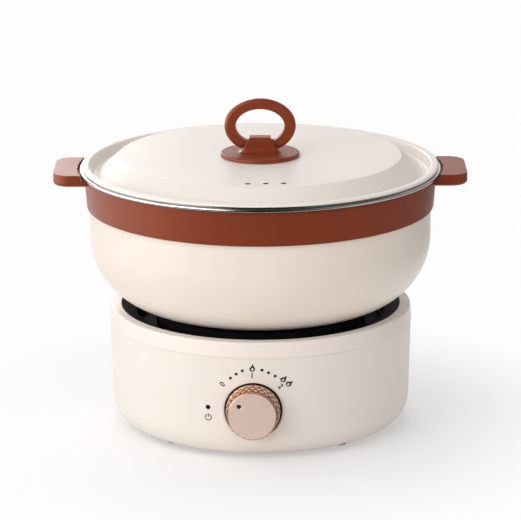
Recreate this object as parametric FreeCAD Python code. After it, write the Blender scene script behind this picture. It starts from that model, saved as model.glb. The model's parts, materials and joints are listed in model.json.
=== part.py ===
import FreeCAD, Part
import math
import os

# Electric hot pot: a round heater base with a control knob, a lift-off steel pot with a
# handle band, a perforated steam rack inside it, and a loose pressed lid with a folding ring.
# Millimetres and degrees. +Z is up, the feet stand on Z = 0, and the side handles lie along X.
# The heater is modelled with its knob facing -Y and then turned by heater_turn.

Vector = FreeCAD.Vector
UP = Vector(0, 0, 1)
FORWARD = Vector(0, -1, 0)

# ---- general clearances ----
loose_gap = 0.3            # between faces of pieces that move past each other
mould_gap = 0.2            # between mating mouldings of one body
running_gap = 0.05         # radial clearance of a shaft or bar that turns in a bore
screw_head_height = 1.8
weld = 0.5                 # how far fused parts of one moulding reach into each other
overcut = 5.0              # how far a cutting solid reaches past what it cuts

# ---- heater base ----
heater_turn = -2.87        # how far the loose heater stands turned under the pot
foot_height = 3.8
foot_radius = 6.5
foot_peg_radius = 2.4
foot_peg = 6.0
base_height = 100.2        # floor of the shell to the top of the ring
base_radius = 127.7        # shell at its seam
base_taper = 2.2           # how much narrower the shell would be at its floor
base_corner = 21.0
base_wall = 2.5
seam_drop = 13.7           # seam below the top of the ring
seam_gap = 0.4
ring_proud = 0.4           # the ring's lower edge stands proud of the shell
ring_shoulder = 1.1        # how much narrower the ring is at its top
ring_wall = 2.2
ring_lip = 1.4
ring_tongue = 6.3
ring_width = 10.1          # from the ring's outer face to the edge of the well
foot_to_cover = 1.0        # between a foot and the cover plate
cover_thickness = 2.0
cover_lap = 10.0
cover_screw_inset = 5.0
vent_slot_length = 16.0
vent_slot_width = 3.0
vent_slot_count = 12
vent_slot_circle = 52.0
cover_boss = 12.0          # height of the bosses for the cover's screws

# ---- well, hot plate and what carries it ----
liner_sheet = 0.8
slope_drop = 4.6
slope_run = 13.5           # how much narrower the trough is than the well
trough_width = 13.0
trough_depth = 16.0        # trough floor below the top of the ring
plate_gap = 2.5            # between the hot plate and the edge of the liner
plate_drop = 3.3           # hot plate below the top of the ring
plate_thickness = 10.0
plate_edge = 1.2
plate_dimple_radius = 14.0
plate_dimple_depth = 0.3
pan_wall_inset = 3.5       # wall of the pan inside the edge of the liner
pan_depth = 10.4           # pan floor below the trough floor
pan_flange_margin = 3.5    # flange of the pan beyond its screws
pillar_radius = 4.5
pillar_inset = 6.0         # pillars beyond the edge of the liner
pillar_count = 4
screw_radius = 1.6
screw_head_radius = 3.2
screw_length = 10.0
post_radius = 3.5
post_circle = 40.0
post_count = 3
element_circle = 62.0
element_radius = 3.3
element_bury = 0.8         # centre of the tube below the hot plate's underside
element_gap_angle = 40.0   # opening of the horseshoe, towards the rear
element_leg = 20.0
bead_radius = 5.0
bead_wall = 1.0            # how much wider the bead is than its neck
bead_height = 3.0
bead_neck = 4.0            # how far the neck reaches below the pan's upper face
cutout_radius = 7.5
cutout_height = 8.0
clip_sheet = 0.8
clip_width = 8.0
clip_lean = 1.0            # how far the spring's legs lean inwards
fuse_radius = 2.0
fuse_length = 30.0
fuse_clip_foot = 12.0

# ---- knob and thermostat ----
knob_height = 46.1         # knob axis above the table
knob_reach = 17.0          # knob face beyond the shell wall
knob_rear_radius = 22.3
knob_front_radius = 20.6
knob_face_border = 1.3     # metal left round the face plate
knob_face_proud = 1.0
knob_wall = 2.4
knob_hub_radius = 6.0
pointer_angle = -52.0      # of the dimple, clockwise from straight up
pointer_inset = 5.7        # dimple's centre inside the edge of the face plate
pointer_radius = 2.6
pointer_depth = 0.9
bezel_rim = 1.15
bezel_proud = 0.5
bezel_depth = 4.3
bezel_floor = 1.5
pad_border = 2.25          # pad beyond the bezel
pad_floor = 1.8            # moulding left behind the bezel
shaft_radius = 3.0
bush_radius = 4.9
nut_flats = 13.0
nut_height = 2.6
thermostat_width = 26.0
thermostat_height = 30.0
thermostat_depth = 18.0
shaft_tail = 8.0

# ---- pilot lamp ----
lamp_angle = -17.2         # round the shell from the knob
lamp_height = 47.0
lens_radius = 1.85
lens_proud = 0.3
lens_flange_radius = 3.0
lens_flange = 1.0
lamp_radius = 2.5
lamp_length = 7.0

# ---- power inlet at the rear ----
inlet_height = 42.0
inlet_flange_lap = 2.3     # flange beyond the body on every side
inlet_flange_thickness = 2.0
inlet_corner = 2.0
inlet_side_wall = 2.1
inlet_top_wall = 2.0
inlet_back_wall = 9.0
inlet_cavity_width = 24.2
inlet_cavity_height = 16.4
inlet_cavity_depth = 17.0
inlet_set_back = 1.5       # front of the flange behind the shell's widest line
inlet_frame_border = 2.0
inlet_frame_depth = 3.0
pin_width = 4.0
pin_thickness = 2.0
pin_set_back = 2.0         # tips of the pins inside the mouth
pin_tail = 8.0
pin_pitch = 7.0
pin_rise = 3.0
wire_radius = 1.1
wire_bend = 9.0
crimp_radius = 2.2
crimp_length = 9.0

# ---- pot ----
pot_radius = 143.6
pot_height = 117.6         # underside of the wall to the top of the rim
pot_sheet = 0.8
pot_corner = 60.0
pot_disc_lap = 3.1         # disc beyond the flat of the pot's floor
pot_disc_thickness = 3.6
collar_step = 2.8          # how much wider the wall is where the lid drops in
collar_depth = 9.5
rim_overhang = 4.0         # centre of the rolled rim beyond the collar
rim_bead = 1.5

# ---- handle band ----
band_top_drop = 4.1        # below the rim
band_height = 28.1
band_top_wall = 1.7        # moulding over the collar
band_bottom_wall = 2.4     # moulding over the pot's wall
handle_reach = 21.1        # beyond the pot's rim
handle_half_width = 35.0
handle_corner = 14.0
handle_top_edge = 1.0      # rounding of the handle's upper and lower outline edges
handle_bottom_edge = 3.0
handle_drop = 0.4          # top of the handle below the pot's rim
handle_thickness = 9.8
handle_rim_gap = 1.8
root_fillet = 7.0
bracket_sheet = 1.2
bracket_half_width = 20.0
bracket_reach = 16.0
bracket_leg = 3.8
bracket_drop = 8.0         # top of the tab below the pot's rim
handle_screw_offset = 12.0
handle_screw_inset = 10.6  # screws beyond the collar
handle_screw_grip = 2.6    # moulding between the screw's head and the tab
handle_boss_radius = 4.8

# ---- lid ----
lid_edge_inset = 0.4       # lid's edge inside the centre of the pot's rim
lid_side_gap = 1.2         # between the lid's inner wall and the collar
lid_sheet = 0.8
lid_lip = 2.8              # height of the turned-down edge
lid_crown = 7.0            # plateau above the rim
lid_dish = 1.4             # centre of the plateau below its edge
lid_flat_margin = 2.8      # flat centre beyond the handle's disc
lid_skirt_run = 18.5
lid_channel_width = 3.8
lid_wall_lean = 2.6        # how much the channel's outer wall leans
lid_channel_depth = 8.6
vent_radius = 1.9
vent_inset = 13.7          # vents inside the edge of the plateau
vent_pitch = 14.5
vent_turn = 2.4

# ---- lid handle ----
disc_radius = 33.2
disc_thickness = 3.3
saddle_height = 13.1
saddle_top_width = 17.8
saddle_foot_width = 32.3
saddle_skin = 1.35
saddle_edge = 0.7
saddle_corner = 0.9        # rounding of its two top corners, more than the edge's
saddle_flare = 5.0
saddle_inset = 1.5         # how far the flare ends inside the disc's edge
ring_half_width = 29.9
ring_half_height = 23.0
ring_side_wall = 9.4
ring_top_wall = 8.3
ring_depth = 7.5
ring_sink = 0.5            # how far the oval would reach below the disc's top
ring_edge = 2.6
pivot_height = 7.5         # bar axis above the disc
bar_radius = 3.2
bar_bite = 4.0             # how far the bar reaches into each foot of the ring
heel_inset = 1.0           # the feet are rounded about the bar up to here inside the saddle's foot
core_half_width = 9.0
handle_screw_radius = 2.5
handle_screw_head = 4.6
handle_screw_bite = 3.5    # depth of its hole in the saddle
washer_radius = 8.0
washer_thickness = 1.2

# ---- steam rack ----
rack_inset = 23.6          # rack's edge inside the pot's widest line
rack_sheet = 0.8
rack_rim = 3.0
rack_hole_radius = 16.0
rack_hole_inset = 39.0     # ring of holes inside the rack's edge
rack_hole_count = 6
rack_hole_turn = -5.0
rack_collar_width = 2.2
rack_collar_height = 0.8
rack_slot_length = 8.0
rack_slot_width = 2.6
rack_web = 1.0             # least metal between a slot and a collar
rack_inner_ring = 36.0     # circles that the slots lie on, and how many on each
rack_inner_count = 10
rack_middle_ring = 56.0
rack_middle_count = 14
rack_outer_inset = 16.0    # outer circle inside the rack's edge
rack_outer_count = 24

# ---- heights and radii that follow from them ----
base_floor = foot_height
base_top = base_floor + base_height
seam_height = base_top - seam_drop
ring_radius = base_radius + ring_proud
well_radius = ring_radius - ring_width
trough_radius = well_radius - slope_run
trough_hole_radius = trough_radius - trough_width
plate_radius = trough_hole_radius - plate_gap
pillar_circle = trough_hole_radius + pillar_inset
pan_wall_radius = trough_hole_radius - pan_wall_inset
pan_flange_radius = pillar_circle + pan_flange_margin
cover_radius = pillar_circle - foot_radius - foot_to_cover
trough_floor = base_top - trough_depth
pan_floor = trough_floor - pan_depth
pan_flange_top = trough_floor - liner_sheet
pillar_top = pan_flange_top - liner_sheet
plate_top = base_top - plate_drop
plate_bottom = plate_top - plate_thickness
element_centre = plate_bottom - element_bury
bezel_radius = knob_rear_radius + loose_gap + bezel_rim
knob_face_radius = knob_front_radius - knob_face_border
pointer_circle = knob_face_radius - pointer_inset
pad_radius = bezel_radius + pad_border
pad_depth = bezel_depth - bezel_proud + pad_floor
inlet_body_width = inlet_cavity_width + 2 * inlet_side_wall
inlet_body_height = inlet_cavity_height + 2 * inlet_top_wall
inlet_body_depth = inlet_cavity_depth + inlet_back_wall
inlet_flange_width = inlet_body_width + 2 * inlet_flange_lap
inlet_flange_height = inlet_body_height + 2 * inlet_flange_lap
pin_length = inlet_cavity_depth - pin_set_back
pot_floor = plate_top + pot_disc_thickness
pot_rim = pot_floor + pot_height
pot_disc_radius = pot_radius - pot_corner + pot_disc_lap
collar_radius = pot_radius + collar_step
rim_radius = collar_radius + rim_overhang
band_top_radius = collar_radius + band_top_wall
band_bottom_radius = pot_radius + band_bottom_wall
handle_tip = rim_radius + rim_bead + handle_reach
handle_screw_reach = collar_radius + handle_screw_inset
band_top = pot_rim - band_top_drop
band_bottom = band_top - band_height
handle_top = pot_rim - handle_drop
handle_bottom = handle_top - handle_thickness
lid_radius = rim_radius - lid_edge_inset
lid_bead_radius = collar_radius - pot_sheet - lid_side_gap - lid_sheet
lid_channel_radius = lid_bead_radius - lid_wall_lean
lid_foot_radius = lid_channel_radius - lid_channel_width
lid_plateau_radius = lid_foot_radius - lid_skirt_run
lid_flat_radius = disc_radius + lid_flat_margin
vent_circle = lid_plateau_radius - vent_inset
ring_inner_half_width = ring_half_width - ring_side_wall
ring_inner_half_height = ring_half_height - ring_top_wall
rack_radius = pot_radius - rack_inset
rack_hole_circle = rack_radius - rack_hole_inset
lid_rim = pot_rim + loose_gap + lid_lip
lid_centre = lid_rim + lid_crown - lid_dish
disc_top = lid_centre + disc_thickness
pivot = disc_top + pivot_height
saddle_depth = ring_depth + 2 * (loose_gap + saddle_skin)
heel_width = saddle_foot_width / 2 - heel_inset


def shell_radius(height):
    """Outer radius of the tapered shell wall at a height."""
    return base_radius - base_taper * (seam_height - height) / (seam_height - base_floor)


knob_wall_radius = shell_radius(knob_height)
knob_front = -(knob_wall_radius + knob_reach)
bezel_front = -(knob_wall_radius + bezel_proud)
bezel_back = bezel_front + bezel_depth
bezel_floor_front = bezel_back - bezel_floor
pad_back = -(knob_wall_radius - pad_depth)
knob_back = bezel_floor_front - loose_gap
inlet_face = shell_radius(inlet_height) - inlet_set_back


# ---- outlines made of straight runs and tangent arcs ----
def unit(vector):
    """A 2-D direction of length one."""
    length = math.hypot(vector[0], vector[1])
    return (vector[0] / length, vector[1] / length)


def rounded_corner(before, corner, after):
    """Start, middle and end of the arc that rounds a corner given as (u, v, radius)."""
    point = (corner[0], corner[1])
    radius = corner[2] if len(corner) > 2 else 0.0
    if radius <= 0:
        return point, None, point
    back = unit((before[0] - point[0], before[1] - point[1]))
    ahead = unit((after[0] - point[0], after[1] - point[1]))
    half_angle = math.acos(back[0] * ahead[0] + back[1] * ahead[1]) / 2
    reach = radius / math.tan(half_angle)
    towards = unit((back[0] + ahead[0], back[1] + ahead[1]))
    inset = radius / math.sin(half_angle) - radius
    start = (point[0] + back[0] * reach, point[1] + back[1] * reach)
    middle = (point[0] + towards[0] * inset, point[1] + towards[1] * inset)
    end = (point[0] + ahead[0] * reach, point[1] + ahead[1] * reach)
    return start, middle, end


def outline_face(points, place):
    """A face inside a closed outline; place turns (u, v) into a 3-D point."""
    count = len(points)
    corners = []
    for index in range(count):
        corners.append(rounded_corner(points[index - 1], points[index], points[(index + 1) % count]))
    edges = []
    for index, (start, middle, end) in enumerate(corners):
        if middle is not None:
            edges.append(Part.Arc(place(*start), place(*middle), place(*end)).toShape())
        following = corners[(index + 1) % count][0]
        if math.dist(end, following) > 1e-7:
            edges.append(Part.LineSegment(place(*end), place(*following)).toShape())
    return Part.Face(Part.Wire(edges))


def side_view(u, v):
    return Vector(u, 0, v)


def top_view(u, v):
    return Vector(u, v, 0)


def upright(shape):
    """The same solid with its faces pointing outwards."""
    if shape.Volume < 0:
        shape.reverse()
    return shape


def turned(points):
    """A solid of revolution about Z from a closed (radius, height) outline."""
    return upright(outline_face(points, side_view).revolve(Vector(0, 0, 0), UP, 360))


def offset_path(path, distance):
    """The path moved to the right of its direction, with its corner radii adjusted."""
    directions = []
    for first, second in zip(path, path[1:]):
        directions.append(unit((second[0] - first[0], second[1] - first[1])))
    moved = []
    for index, point in enumerate(path):
        before = directions[max(index - 1, 0)]
        after = directions[min(index, len(directions) - 1)]
        normal_before = (before[1], -before[0])
        normal_after = (after[1], -after[0])
        scale = distance / (1 + normal_before[0] * normal_after[0] + normal_before[1] * normal_after[1])
        left_turn = before[0] * after[1] - before[1] * after[0] > 0
        radius = point[2] if len(point) > 2 else 0.0
        if radius > 0:
            radius += distance if left_turn else -distance
        moved.append((
            point[0] + (normal_before[0] + normal_after[0]) * scale,
            point[1] + (normal_before[1] + normal_after[1]) * scale,
            max(radius, 0.0),
        ))
    return moved


def turned_sheet(path, thickness):
    """A pressed sheet: the path is one face and the sheet lies to the right of it."""
    return turned(list(path) + offset_path(path, thickness)[::-1])


# ---- simple solids ----
def cylinder(radius, height, base, direction=UP):
    return Part.makeCylinder(radius, height, base, direction)


def tube(outer, inner, height, base, direction=UP):
    return cylinder(outer, height, base, direction).cut(cylinder(inner, height, base, direction))


def box(low, high):
    return Part.makeBox(high[0] - low[0], high[1] - low[1], high[2] - low[2], Vector(*low))


def prism(points, bottom, top):
    """A vertical prism over a plan outline."""
    face = outline_face(points, top_view)
    face.translate(Vector(0, 0, bottom))
    return upright(face.extrude(Vector(0, 0, top - bottom)))


def rounded_rectangle(width, height, radius):
    """Corner list of a rectangle about the origin."""
    half_width = width / 2
    half_height = height / 2
    return [
        (-half_width, -half_height, radius),
        (half_width, -half_height, radius),
        (half_width, half_height, radius),
        (-half_width, half_height, radius),
    ]


def around(count, radius, first=0.0, height=0.0):
    """Points evenly spaced on a circle."""
    points = []
    for index in range(count):
        angle = math.radians(first + 360.0 * index / count)
        points.append(Vector(radius * math.cos(angle), radius * math.sin(angle), height))
    return points


def spin(shape, degrees):
    """A copy of the shape turned about Z."""
    copy = shape.copy()
    copy.rotate(Vector(0, 0, 0), UP, degrees)
    return copy


def mirrored(shape):
    """The shape and its mirror image across the YZ plane."""
    return [shape, upright(shape.mirror(Vector(0, 0, 0), Vector(1, 0, 0)))]


def joined(shapes):
    first = shapes[0]
    return first.fuse(shapes[1:]).removeSplitter() if len(shapes) > 1 else first


def screw_up(point, length, radius, head_radius, head_height):
    """A screw whose head is below the point and whose shank rises from it."""
    head = cylinder(head_radius, head_height, point - UP * head_height)
    return joined([head, cylinder(radius, length, point)])


def screw_down(point, length, radius, head_radius, head_height):
    """A screw whose head is above the point and whose shank goes down from it."""
    head = cylinder(head_radius, head_height, point)
    return joined([head, cylinder(radius, length, point - UP * length)])


def bent_tube(points, radius, bend):
    """A round wire along straight runs joined by tangent arcs."""
    edges = []
    last = points[0]
    for before, corner, after in zip(points, points[1:], points[2:]):
        back = (before - corner).normalize()
        ahead = (after - corner).normalize()
        half_angle = back.getAngle(ahead) / 2
        reach = bend / math.tan(half_angle)
        towards = (back + ahead).normalize()
        start = corner + back * reach
        middle = corner + towards * (bend / math.sin(half_angle) - bend)
        end = corner + ahead * reach
        edges.append(Part.LineSegment(last, start).toShape())
        edges.append(Part.Arc(start, middle, end).toShape())
        last = end
    edges.append(Part.LineSegment(last, points[-1]).toShape())
    direction = points[1] - points[0]
    section = Part.Wire([Part.Circle(points[0], direction, radius).toShape()])
    return upright(Part.Wire(edges).makePipeShell([section], True, False))


# ---- heater base ----
pillar_points = around(pillar_count, pillar_circle, 45.0)
cover_screw_points = around(pillar_count, cover_radius - cover_screw_inset, 45.0)


def make_base_shell():
    """Moulded body: tapered wall, rounded bottom edge and a stepped floor ring."""
    floor_inner = cover_radius - cover_lap
    step = cover_thickness + mould_gap
    path = [
        (base_radius, seam_height),
        (base_radius - base_taper, base_floor, base_corner),
        (cover_radius + mould_gap, base_floor),
        (cover_radius + mould_gap, base_floor + step),
        (floor_inner, base_floor + step),
    ]
    shell = turned_sheet(path, base_wall)
    inside_floor = base_floor + base_wall / 2
    pieces = [shell]
    for point in pillar_points:
        pieces.append(cylinder(pillar_radius, pillar_top - inside_floor, point + UP * inside_floor))
    boss_bottom = base_floor + step
    for point in cover_screw_points:
        pieces.append(cylinder(pillar_radius, cover_boss, point + UP * boss_bottom))
    pad_front = -(knob_wall_radius - base_wall / 2)
    pieces.append(cylinder(pad_radius, pad_back - pad_front, Vector(0, pad_back, knob_height), FORWARD))
    pieces.append(make_inlet_frame())
    body = joined(pieces)
    knob_centre = Vector(0, bezel_back, knob_height)
    bush_start = Vector(0, pad_back + pad_depth, knob_height)
    flange_depth = inlet_flange_thickness + mould_gap
    cuts = [
        cylinder(bezel_radius + mould_gap, 2 * bezel_depth, knob_centre, FORWARD),
        cylinder(bush_radius + mould_gap, 3 * pad_depth, bush_start, FORWARD),
        inlet_block(inlet_flange_width, inlet_flange_height, flange_depth, 3 * base_wall),
        inlet_block(inlet_body_width, inlet_body_height, inlet_body_depth, 3 * base_wall),
    ]
    cuts += make_lamp_bore()
    for point in pillar_points:
        cuts.append(cylinder(screw_radius, screw_length, point + UP * (pillar_top - screw_length)))
        cuts.append(cylinder(foot_peg_radius, foot_peg + mould_gap, point + UP * base_floor))
    for point in cover_screw_points:
        cuts.append(cylinder(screw_radius, screw_length, point + UP * base_floor))
    return body.cut(cuts)


def make_inlet_frame():
    """Thickened frame inside the wall that the inlet's flange seats on."""
    width = inlet_flange_width + 2 * inlet_frame_border
    height = inlet_flange_height + 2 * inlet_frame_border
    outer = inlet_block(width, height, inlet_flange_thickness + inlet_frame_depth, 0)
    keep = cylinder(shell_radius(inlet_height) - base_wall / 2, base_height, UP * base_floor)
    return outer.common(keep)


def make_base_top_ring():
    """Cream ring that closes the shell, with a tongue inside the seam and a thin inner lip."""
    tongue_outer = base_radius - base_wall - mould_gap
    tongue_inner = tongue_outer - ring_wall
    lip_under = base_top - ring_lip
    bottom = seam_height + seam_gap
    top_radius = ring_radius - ring_shoulder
    return turned([
        (well_radius, base_top, 0.6),
        (top_radius, base_top - 0.3, 1.8),
        (ring_radius, bottom, 0.6),
        (tongue_outer, bottom),
        (tongue_outer, bottom - ring_tongue),
        (tongue_inner, bottom - ring_tongue),
        (tongue_inner, lip_under),
        (well_radius, lip_under),
    ])


def make_well_liner():
    """Dark sheet dish: flange under the ring's lip, sloping rim and a flat-bottomed trough."""
    flange_top = base_top - ring_lip
    flange_radius = base_radius - base_wall - 2 * mould_gap - ring_wall
    liner = turned_sheet([
        (trough_hole_radius, trough_floor),
        (trough_radius, trough_floor, 1.5),
        (trough_radius, flange_top - slope_drop, 2.0),
        (well_radius, flange_top, 2.0),
        (flange_radius, flange_top),
    ], liner_sheet)
    holes = [cylinder(screw_radius, 4 * liner_sheet, point + UP * pillar_top) for point in pillar_points]
    return liner.cut(holes)


def make_reflector_pan():
    """Pressed pan below the hot plate, clamped under the liner."""
    pan = turned_sheet([
        (0, pan_floor),
        (pan_wall_radius, pan_floor, 3.0),
        (pan_wall_radius, pan_flange_top, 1.0),
        (pan_flange_radius, pan_flange_top),
    ], liner_sheet)
    holes = [cylinder(screw_radius, 4 * liner_sheet, point + UP * (pillar_top - liner_sheet))
             for point in pillar_points]
    for point in around(post_count, post_circle, 90.0, pan_floor - 3 * liner_sheet):
        holes.append(cylinder(screw_radius, 6 * liner_sheet, point))
    for end in element_ends():
        foot = Vector(end.x, end.y, pan_floor - 3 * liner_sheet)
        holes.append(cylinder(bead_radius - bead_wall, 6 * liner_sheet, foot))
    return pan.cut(holes)


def make_liner_screws():
    """Screws through the trough floor and the pan's flange into the shell's pillars."""
    screws = []
    for point in pillar_points:
        seat = point + UP * trough_floor
        screws.append(screw_down(seat, screw_length, screw_radius, screw_head_radius, screw_head_height))
    return screws


def element_ends():
    """Where the heater tube's ends turn down, level with its centre line."""
    ends = []
    for side in (-1, 1):
        angle = math.radians(90.0 + side * element_gap_angle / 2)
        across = element_circle * math.cos(angle)
        along = element_circle * math.sin(angle)
        ends.append(Vector(across, along, element_centre))
    return ends


def make_hot_plate():
    """Cast aluminium plate with a small centre dimple, a groove for the tube and screw holes."""
    plate = turned([
        (0, plate_bottom),
        (plate_radius, plate_bottom, plate_edge),
        (plate_radius, plate_top, plate_edge),
        (plate_dimple_radius, plate_top),
        (plate_dimple_radius, plate_top - plate_dimple_depth),
        (0, plate_top - plate_dimple_depth),
    ])
    groove = Part.makeTorus(element_circle, element_radius + running_gap, UP * element_centre)
    cuts = [groove]
    for point in around(post_count, post_circle, 90.0, plate_bottom):
        cuts.append(cylinder(screw_radius, plate_thickness / 2, point))
    return plate.cut(cuts)


def make_heating_element():
    """Horseshoe tube heater with both ends turned down through the pan."""
    opening = math.radians(element_gap_angle / 2)
    arc_ends = element_ends()
    front = Vector(0, -element_circle, element_centre)
    path = Part.Wire([Part.Arc(arc_ends[0], front, arc_ends[1]).toShape()])
    tangent = Vector(math.cos(opening), -math.sin(opening), 0)
    section = Part.Wire([Part.Circle(arc_ends[0], tangent, element_radius).toShape()])
    loop = upright(path.makePipeShell([section], True, False))
    pieces = [loop]
    for end in arc_ends:
        pieces.append(Part.makeSphere(element_radius, end))
        pieces.append(cylinder(element_radius, element_leg, end - UP * element_leg))
    return joined(pieces)


def make_terminal_beads():
    """Ceramic beads that carry the heater's ends through the pan."""
    beads = []
    for end in element_ends():
        foot = Vector(end.x, end.y, pan_floor)
        neck_foot = foot - UP * bead_neck
        hole = cylinder(element_radius + running_gap, bead_height + bead_neck, neck_foot)
        collar = cylinder(bead_radius, bead_height, foot)
        neck = cylinder(bead_radius - bead_wall - mould_gap, bead_neck, neck_foot)
        beads.append(joined([collar, neck]).cut(hole))
    return beads


def make_plate_posts():
    """Spacer posts that hold the hot plate above the pan."""
    posts = []
    for point in around(post_count, post_circle, 90.0, pan_floor):
        posts.append(tube(post_radius, screw_radius + running_gap, plate_bottom - pan_floor, point))
    return posts


def make_plate_screws():
    """Screws up through the pan and the posts into the hot plate."""
    screws = []
    for point in around(post_count, post_circle, 90.0, pan_floor - liner_sheet):
        length = plate_bottom - pan_floor + liner_sheet + plate_thickness / 2
        screws.append(screw_up(point, length, screw_radius, screw_head_radius, screw_head_height))
    return screws


def make_overheat_cutout():
    """Snap-disc switch pressed against the underside of the hot plate."""
    return cylinder(cutout_radius, cutout_height, UP * (plate_bottom - cutout_height))


def make_cutout_clip():
    """Bent strip spring between the pan and the snap-disc switch."""
    low = pan_floor + clip_sheet
    high = plate_bottom - cutout_height
    foot = clip_width
    top = clip_width - clip_lean
    strip = [(-2 * foot, low), (-foot, low), (-top, high), (top, high), (foot, low), (2 * foot, low)]
    face = outline_face(strip + offset_path(strip, clip_sheet)[::-1], side_view)
    face.translate(Vector(0, -clip_width / 2, 0))
    return upright(face.extrude(Vector(0, clip_width, 0)))


def fuse_axis_height():
    return pan_floor + clip_sheet + fuse_radius


def make_thermal_fuse():
    """Sleeved thermal fuse lying on the pan."""
    start = Vector(-fuse_length / 2, -post_circle / 2, fuse_axis_height())
    return cylinder(fuse_radius, fuse_length, start, Vector(1, 0, 0))


def make_fuse_clip():
    """Saddle clip that holds the fuse down on the pan."""
    centre = Vector(-clip_width / 2, -post_circle / 2, fuse_axis_height())
    along = Vector(1, 0, 0)
    saddle = tube(fuse_radius + clip_sheet, fuse_radius, clip_width, centre, along)
    half_foot = fuse_clip_foot / 2
    foot = box((-clip_width / 2, -post_circle / 2 - half_foot, pan_floor),
               (clip_width / 2, -post_circle / 2 + half_foot, pan_floor + clip_sheet))
    return joined([saddle, foot]).cut(cylinder(fuse_radius, clip_width, centre, along))


def make_bottom_cover():
    """Cover plate under the floor, with cooling slots and screw holes."""
    cover = cylinder(cover_radius, cover_thickness, UP * base_floor)
    cuts = []
    slot = prism(rounded_rectangle(vent_slot_length, vent_slot_width, vent_slot_width / 2),
                 base_floor, base_floor + cover_thickness)
    slot.translate(Vector(vent_slot_circle, 0, 0))
    for index in range(vent_slot_count):
        cuts.append(spin(slot, 360.0 * index / vent_slot_count))
    for point in cover_screw_points:
        cuts.append(cylinder(screw_radius + mould_gap, cover_thickness, point + UP * base_floor))
    return cover.cut(cuts)


def make_cover_screws():
    screws = []
    for point in cover_screw_points:
        seat = point + UP * base_floor
        screws.append(screw_up(seat, screw_length, screw_radius, screw_head_radius, screw_head_height))
    return screws


def make_base_feet():
    """Rubber feet with pegs pushed up into the bottoms of the pillars."""
    feet = []
    for point in pillar_points:
        foot = turned([
            (0, 0),
            (foot_radius - 0.5, 0, 0.8),
            (foot_radius, foot_height),
            (foot_peg_radius, foot_height),
            (foot_peg_radius, foot_height + foot_peg, 0.8),
            (0, foot_height + foot_peg),
        ])
        foot.translate(point)
        feet.append(foot)
    return feet


# ---- knob and thermostat ----
def make_knob_bezel():
    """Dark cup round the knob, let into the shell."""
    centre = Vector(0, bezel_back, knob_height)
    cup = cylinder(bezel_radius, bezel_depth, centre, FORWARD)
    cavity = cylinder(bezel_radius - bezel_rim, bezel_depth, centre + FORWARD * bezel_floor, FORWARD)
    bore = cylinder(bush_radius + mould_gap, bezel_depth, centre, FORWARD)
    return cup.cut([cavity, bore])


def make_thermostat_body():
    """Thermostat block with a threaded bush that passes through the pad."""
    half = thermostat_width / 2
    block = box((-half, pad_back, knob_height - thermostat_height / 2),
                (half, pad_back + thermostat_depth, knob_height + thermostat_height / 2))
    bush_length = pad_back - bezel_floor_front + nut_height
    bush = cylinder(bush_radius, bush_length, Vector(0, pad_back, knob_height), FORWARD)
    bore = cylinder(shaft_radius + running_gap, bush_length + shaft_tail + loose_gap,
                    Vector(0, pad_back + shaft_tail + loose_gap, knob_height), FORWARD)
    return joined([block, bush]).cut(bore)


def make_thermostat_nut():
    """Hexagon nut that clamps the thermostat and the bezel to the pad."""
    corner = nut_flats / 2 / math.cos(math.radians(30))
    corners = around(6, corner, 30.0)
    face = Part.Face(Part.makePolygon(corners + corners[:1]))
    nut = upright(face.extrude(UP * nut_height))
    nut.rotate(Vector(0, 0, 0), Vector(1, 0, 0), 90)
    nut.translate(Vector(0, bezel_floor_front, knob_height))
    bore = cylinder(bush_radius, nut_height, Vector(0, bezel_floor_front, knob_height), FORWARD)
    return nut.cut(bore)


def along_knob_axis(shape):
    """Moves a solid turned about Z so that Z becomes the knob's outward axis."""
    shape.rotate(Vector(0, 0, 0), Vector(1, 0, 0), 90)
    shape.translate(Vector(0, 0, knob_height))
    return shape


def make_knob_body():
    """Hollow tapered knob with a hub for the shaft and a recess for its face plate."""
    back = -knob_back
    front = -knob_front - knob_face_proud
    seat = front - knob_wall
    hub_back = back + nut_height + 2 * loose_gap
    inner = knob_front_radius - knob_wall
    body = turned([
        (inner, back),
        (knob_rear_radius, back, 0.4),
        (knob_rear_radius, back + 2.2, 0.4),
        (knob_front_radius, front, 1.0),
        (0, front),
        (0, hub_back),
        (knob_hub_radius, hub_back),
        (knob_hub_radius, seat),
        (inner, seat),
    ])
    bore = cylinder(shaft_radius, seat - hub_back, UP * hub_back)
    recess = cylinder(knob_face_radius, knob_wall / 2, UP * (front - knob_wall / 2))
    return along_knob_axis(body.cut([bore, recess]))


def make_knob_face():
    """Flat face plate with a dimple that points at the scale."""
    front = -knob_front
    back = front - knob_face_proud - knob_wall / 2
    plate = turned([
        (0, back),
        (knob_face_radius, back),
        (knob_face_radius, front, 0.5),
        (0, front),
    ])
    angle = math.radians(90.0 - pointer_angle)
    tip = Vector(pointer_circle * math.cos(angle), pointer_circle * math.sin(angle), front)
    ball_radius = (pointer_radius ** 2 + pointer_depth ** 2) / (2 * pointer_depth)
    dimple = Part.makeSphere(ball_radius, tip + UP * (ball_radius - pointer_depth))
    return along_knob_axis(plate.cut(dimple))


def make_control_shaft():
    """Steel shaft from inside the thermostat to the knob's hub."""
    front = -knob_front - knob_face_proud - knob_wall
    back = -(pad_back + shaft_tail)
    return along_knob_axis(cylinder(shaft_radius, front - back, UP * back))


# ---- pilot lamp ----
def on_lamp_axis(shape):
    """Moves a solid turned about Z to the lamp's place, with Z pointing out of the wall."""
    shape.rotate(Vector(0, 0, 0), Vector(1, 0, 0), 90)
    shape.translate(Vector(0, -shell_radius(lamp_height), lamp_height))
    shape.rotate(Vector(0, 0, 0), UP, lamp_angle)
    return shape


def make_lamp_bore():
    """The bore for the lens in the shell wall."""
    bore = cylinder(lens_radius + mould_gap, 4 * base_wall, UP * (-2 * base_wall))
    return [on_lamp_axis(bore)]


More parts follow.
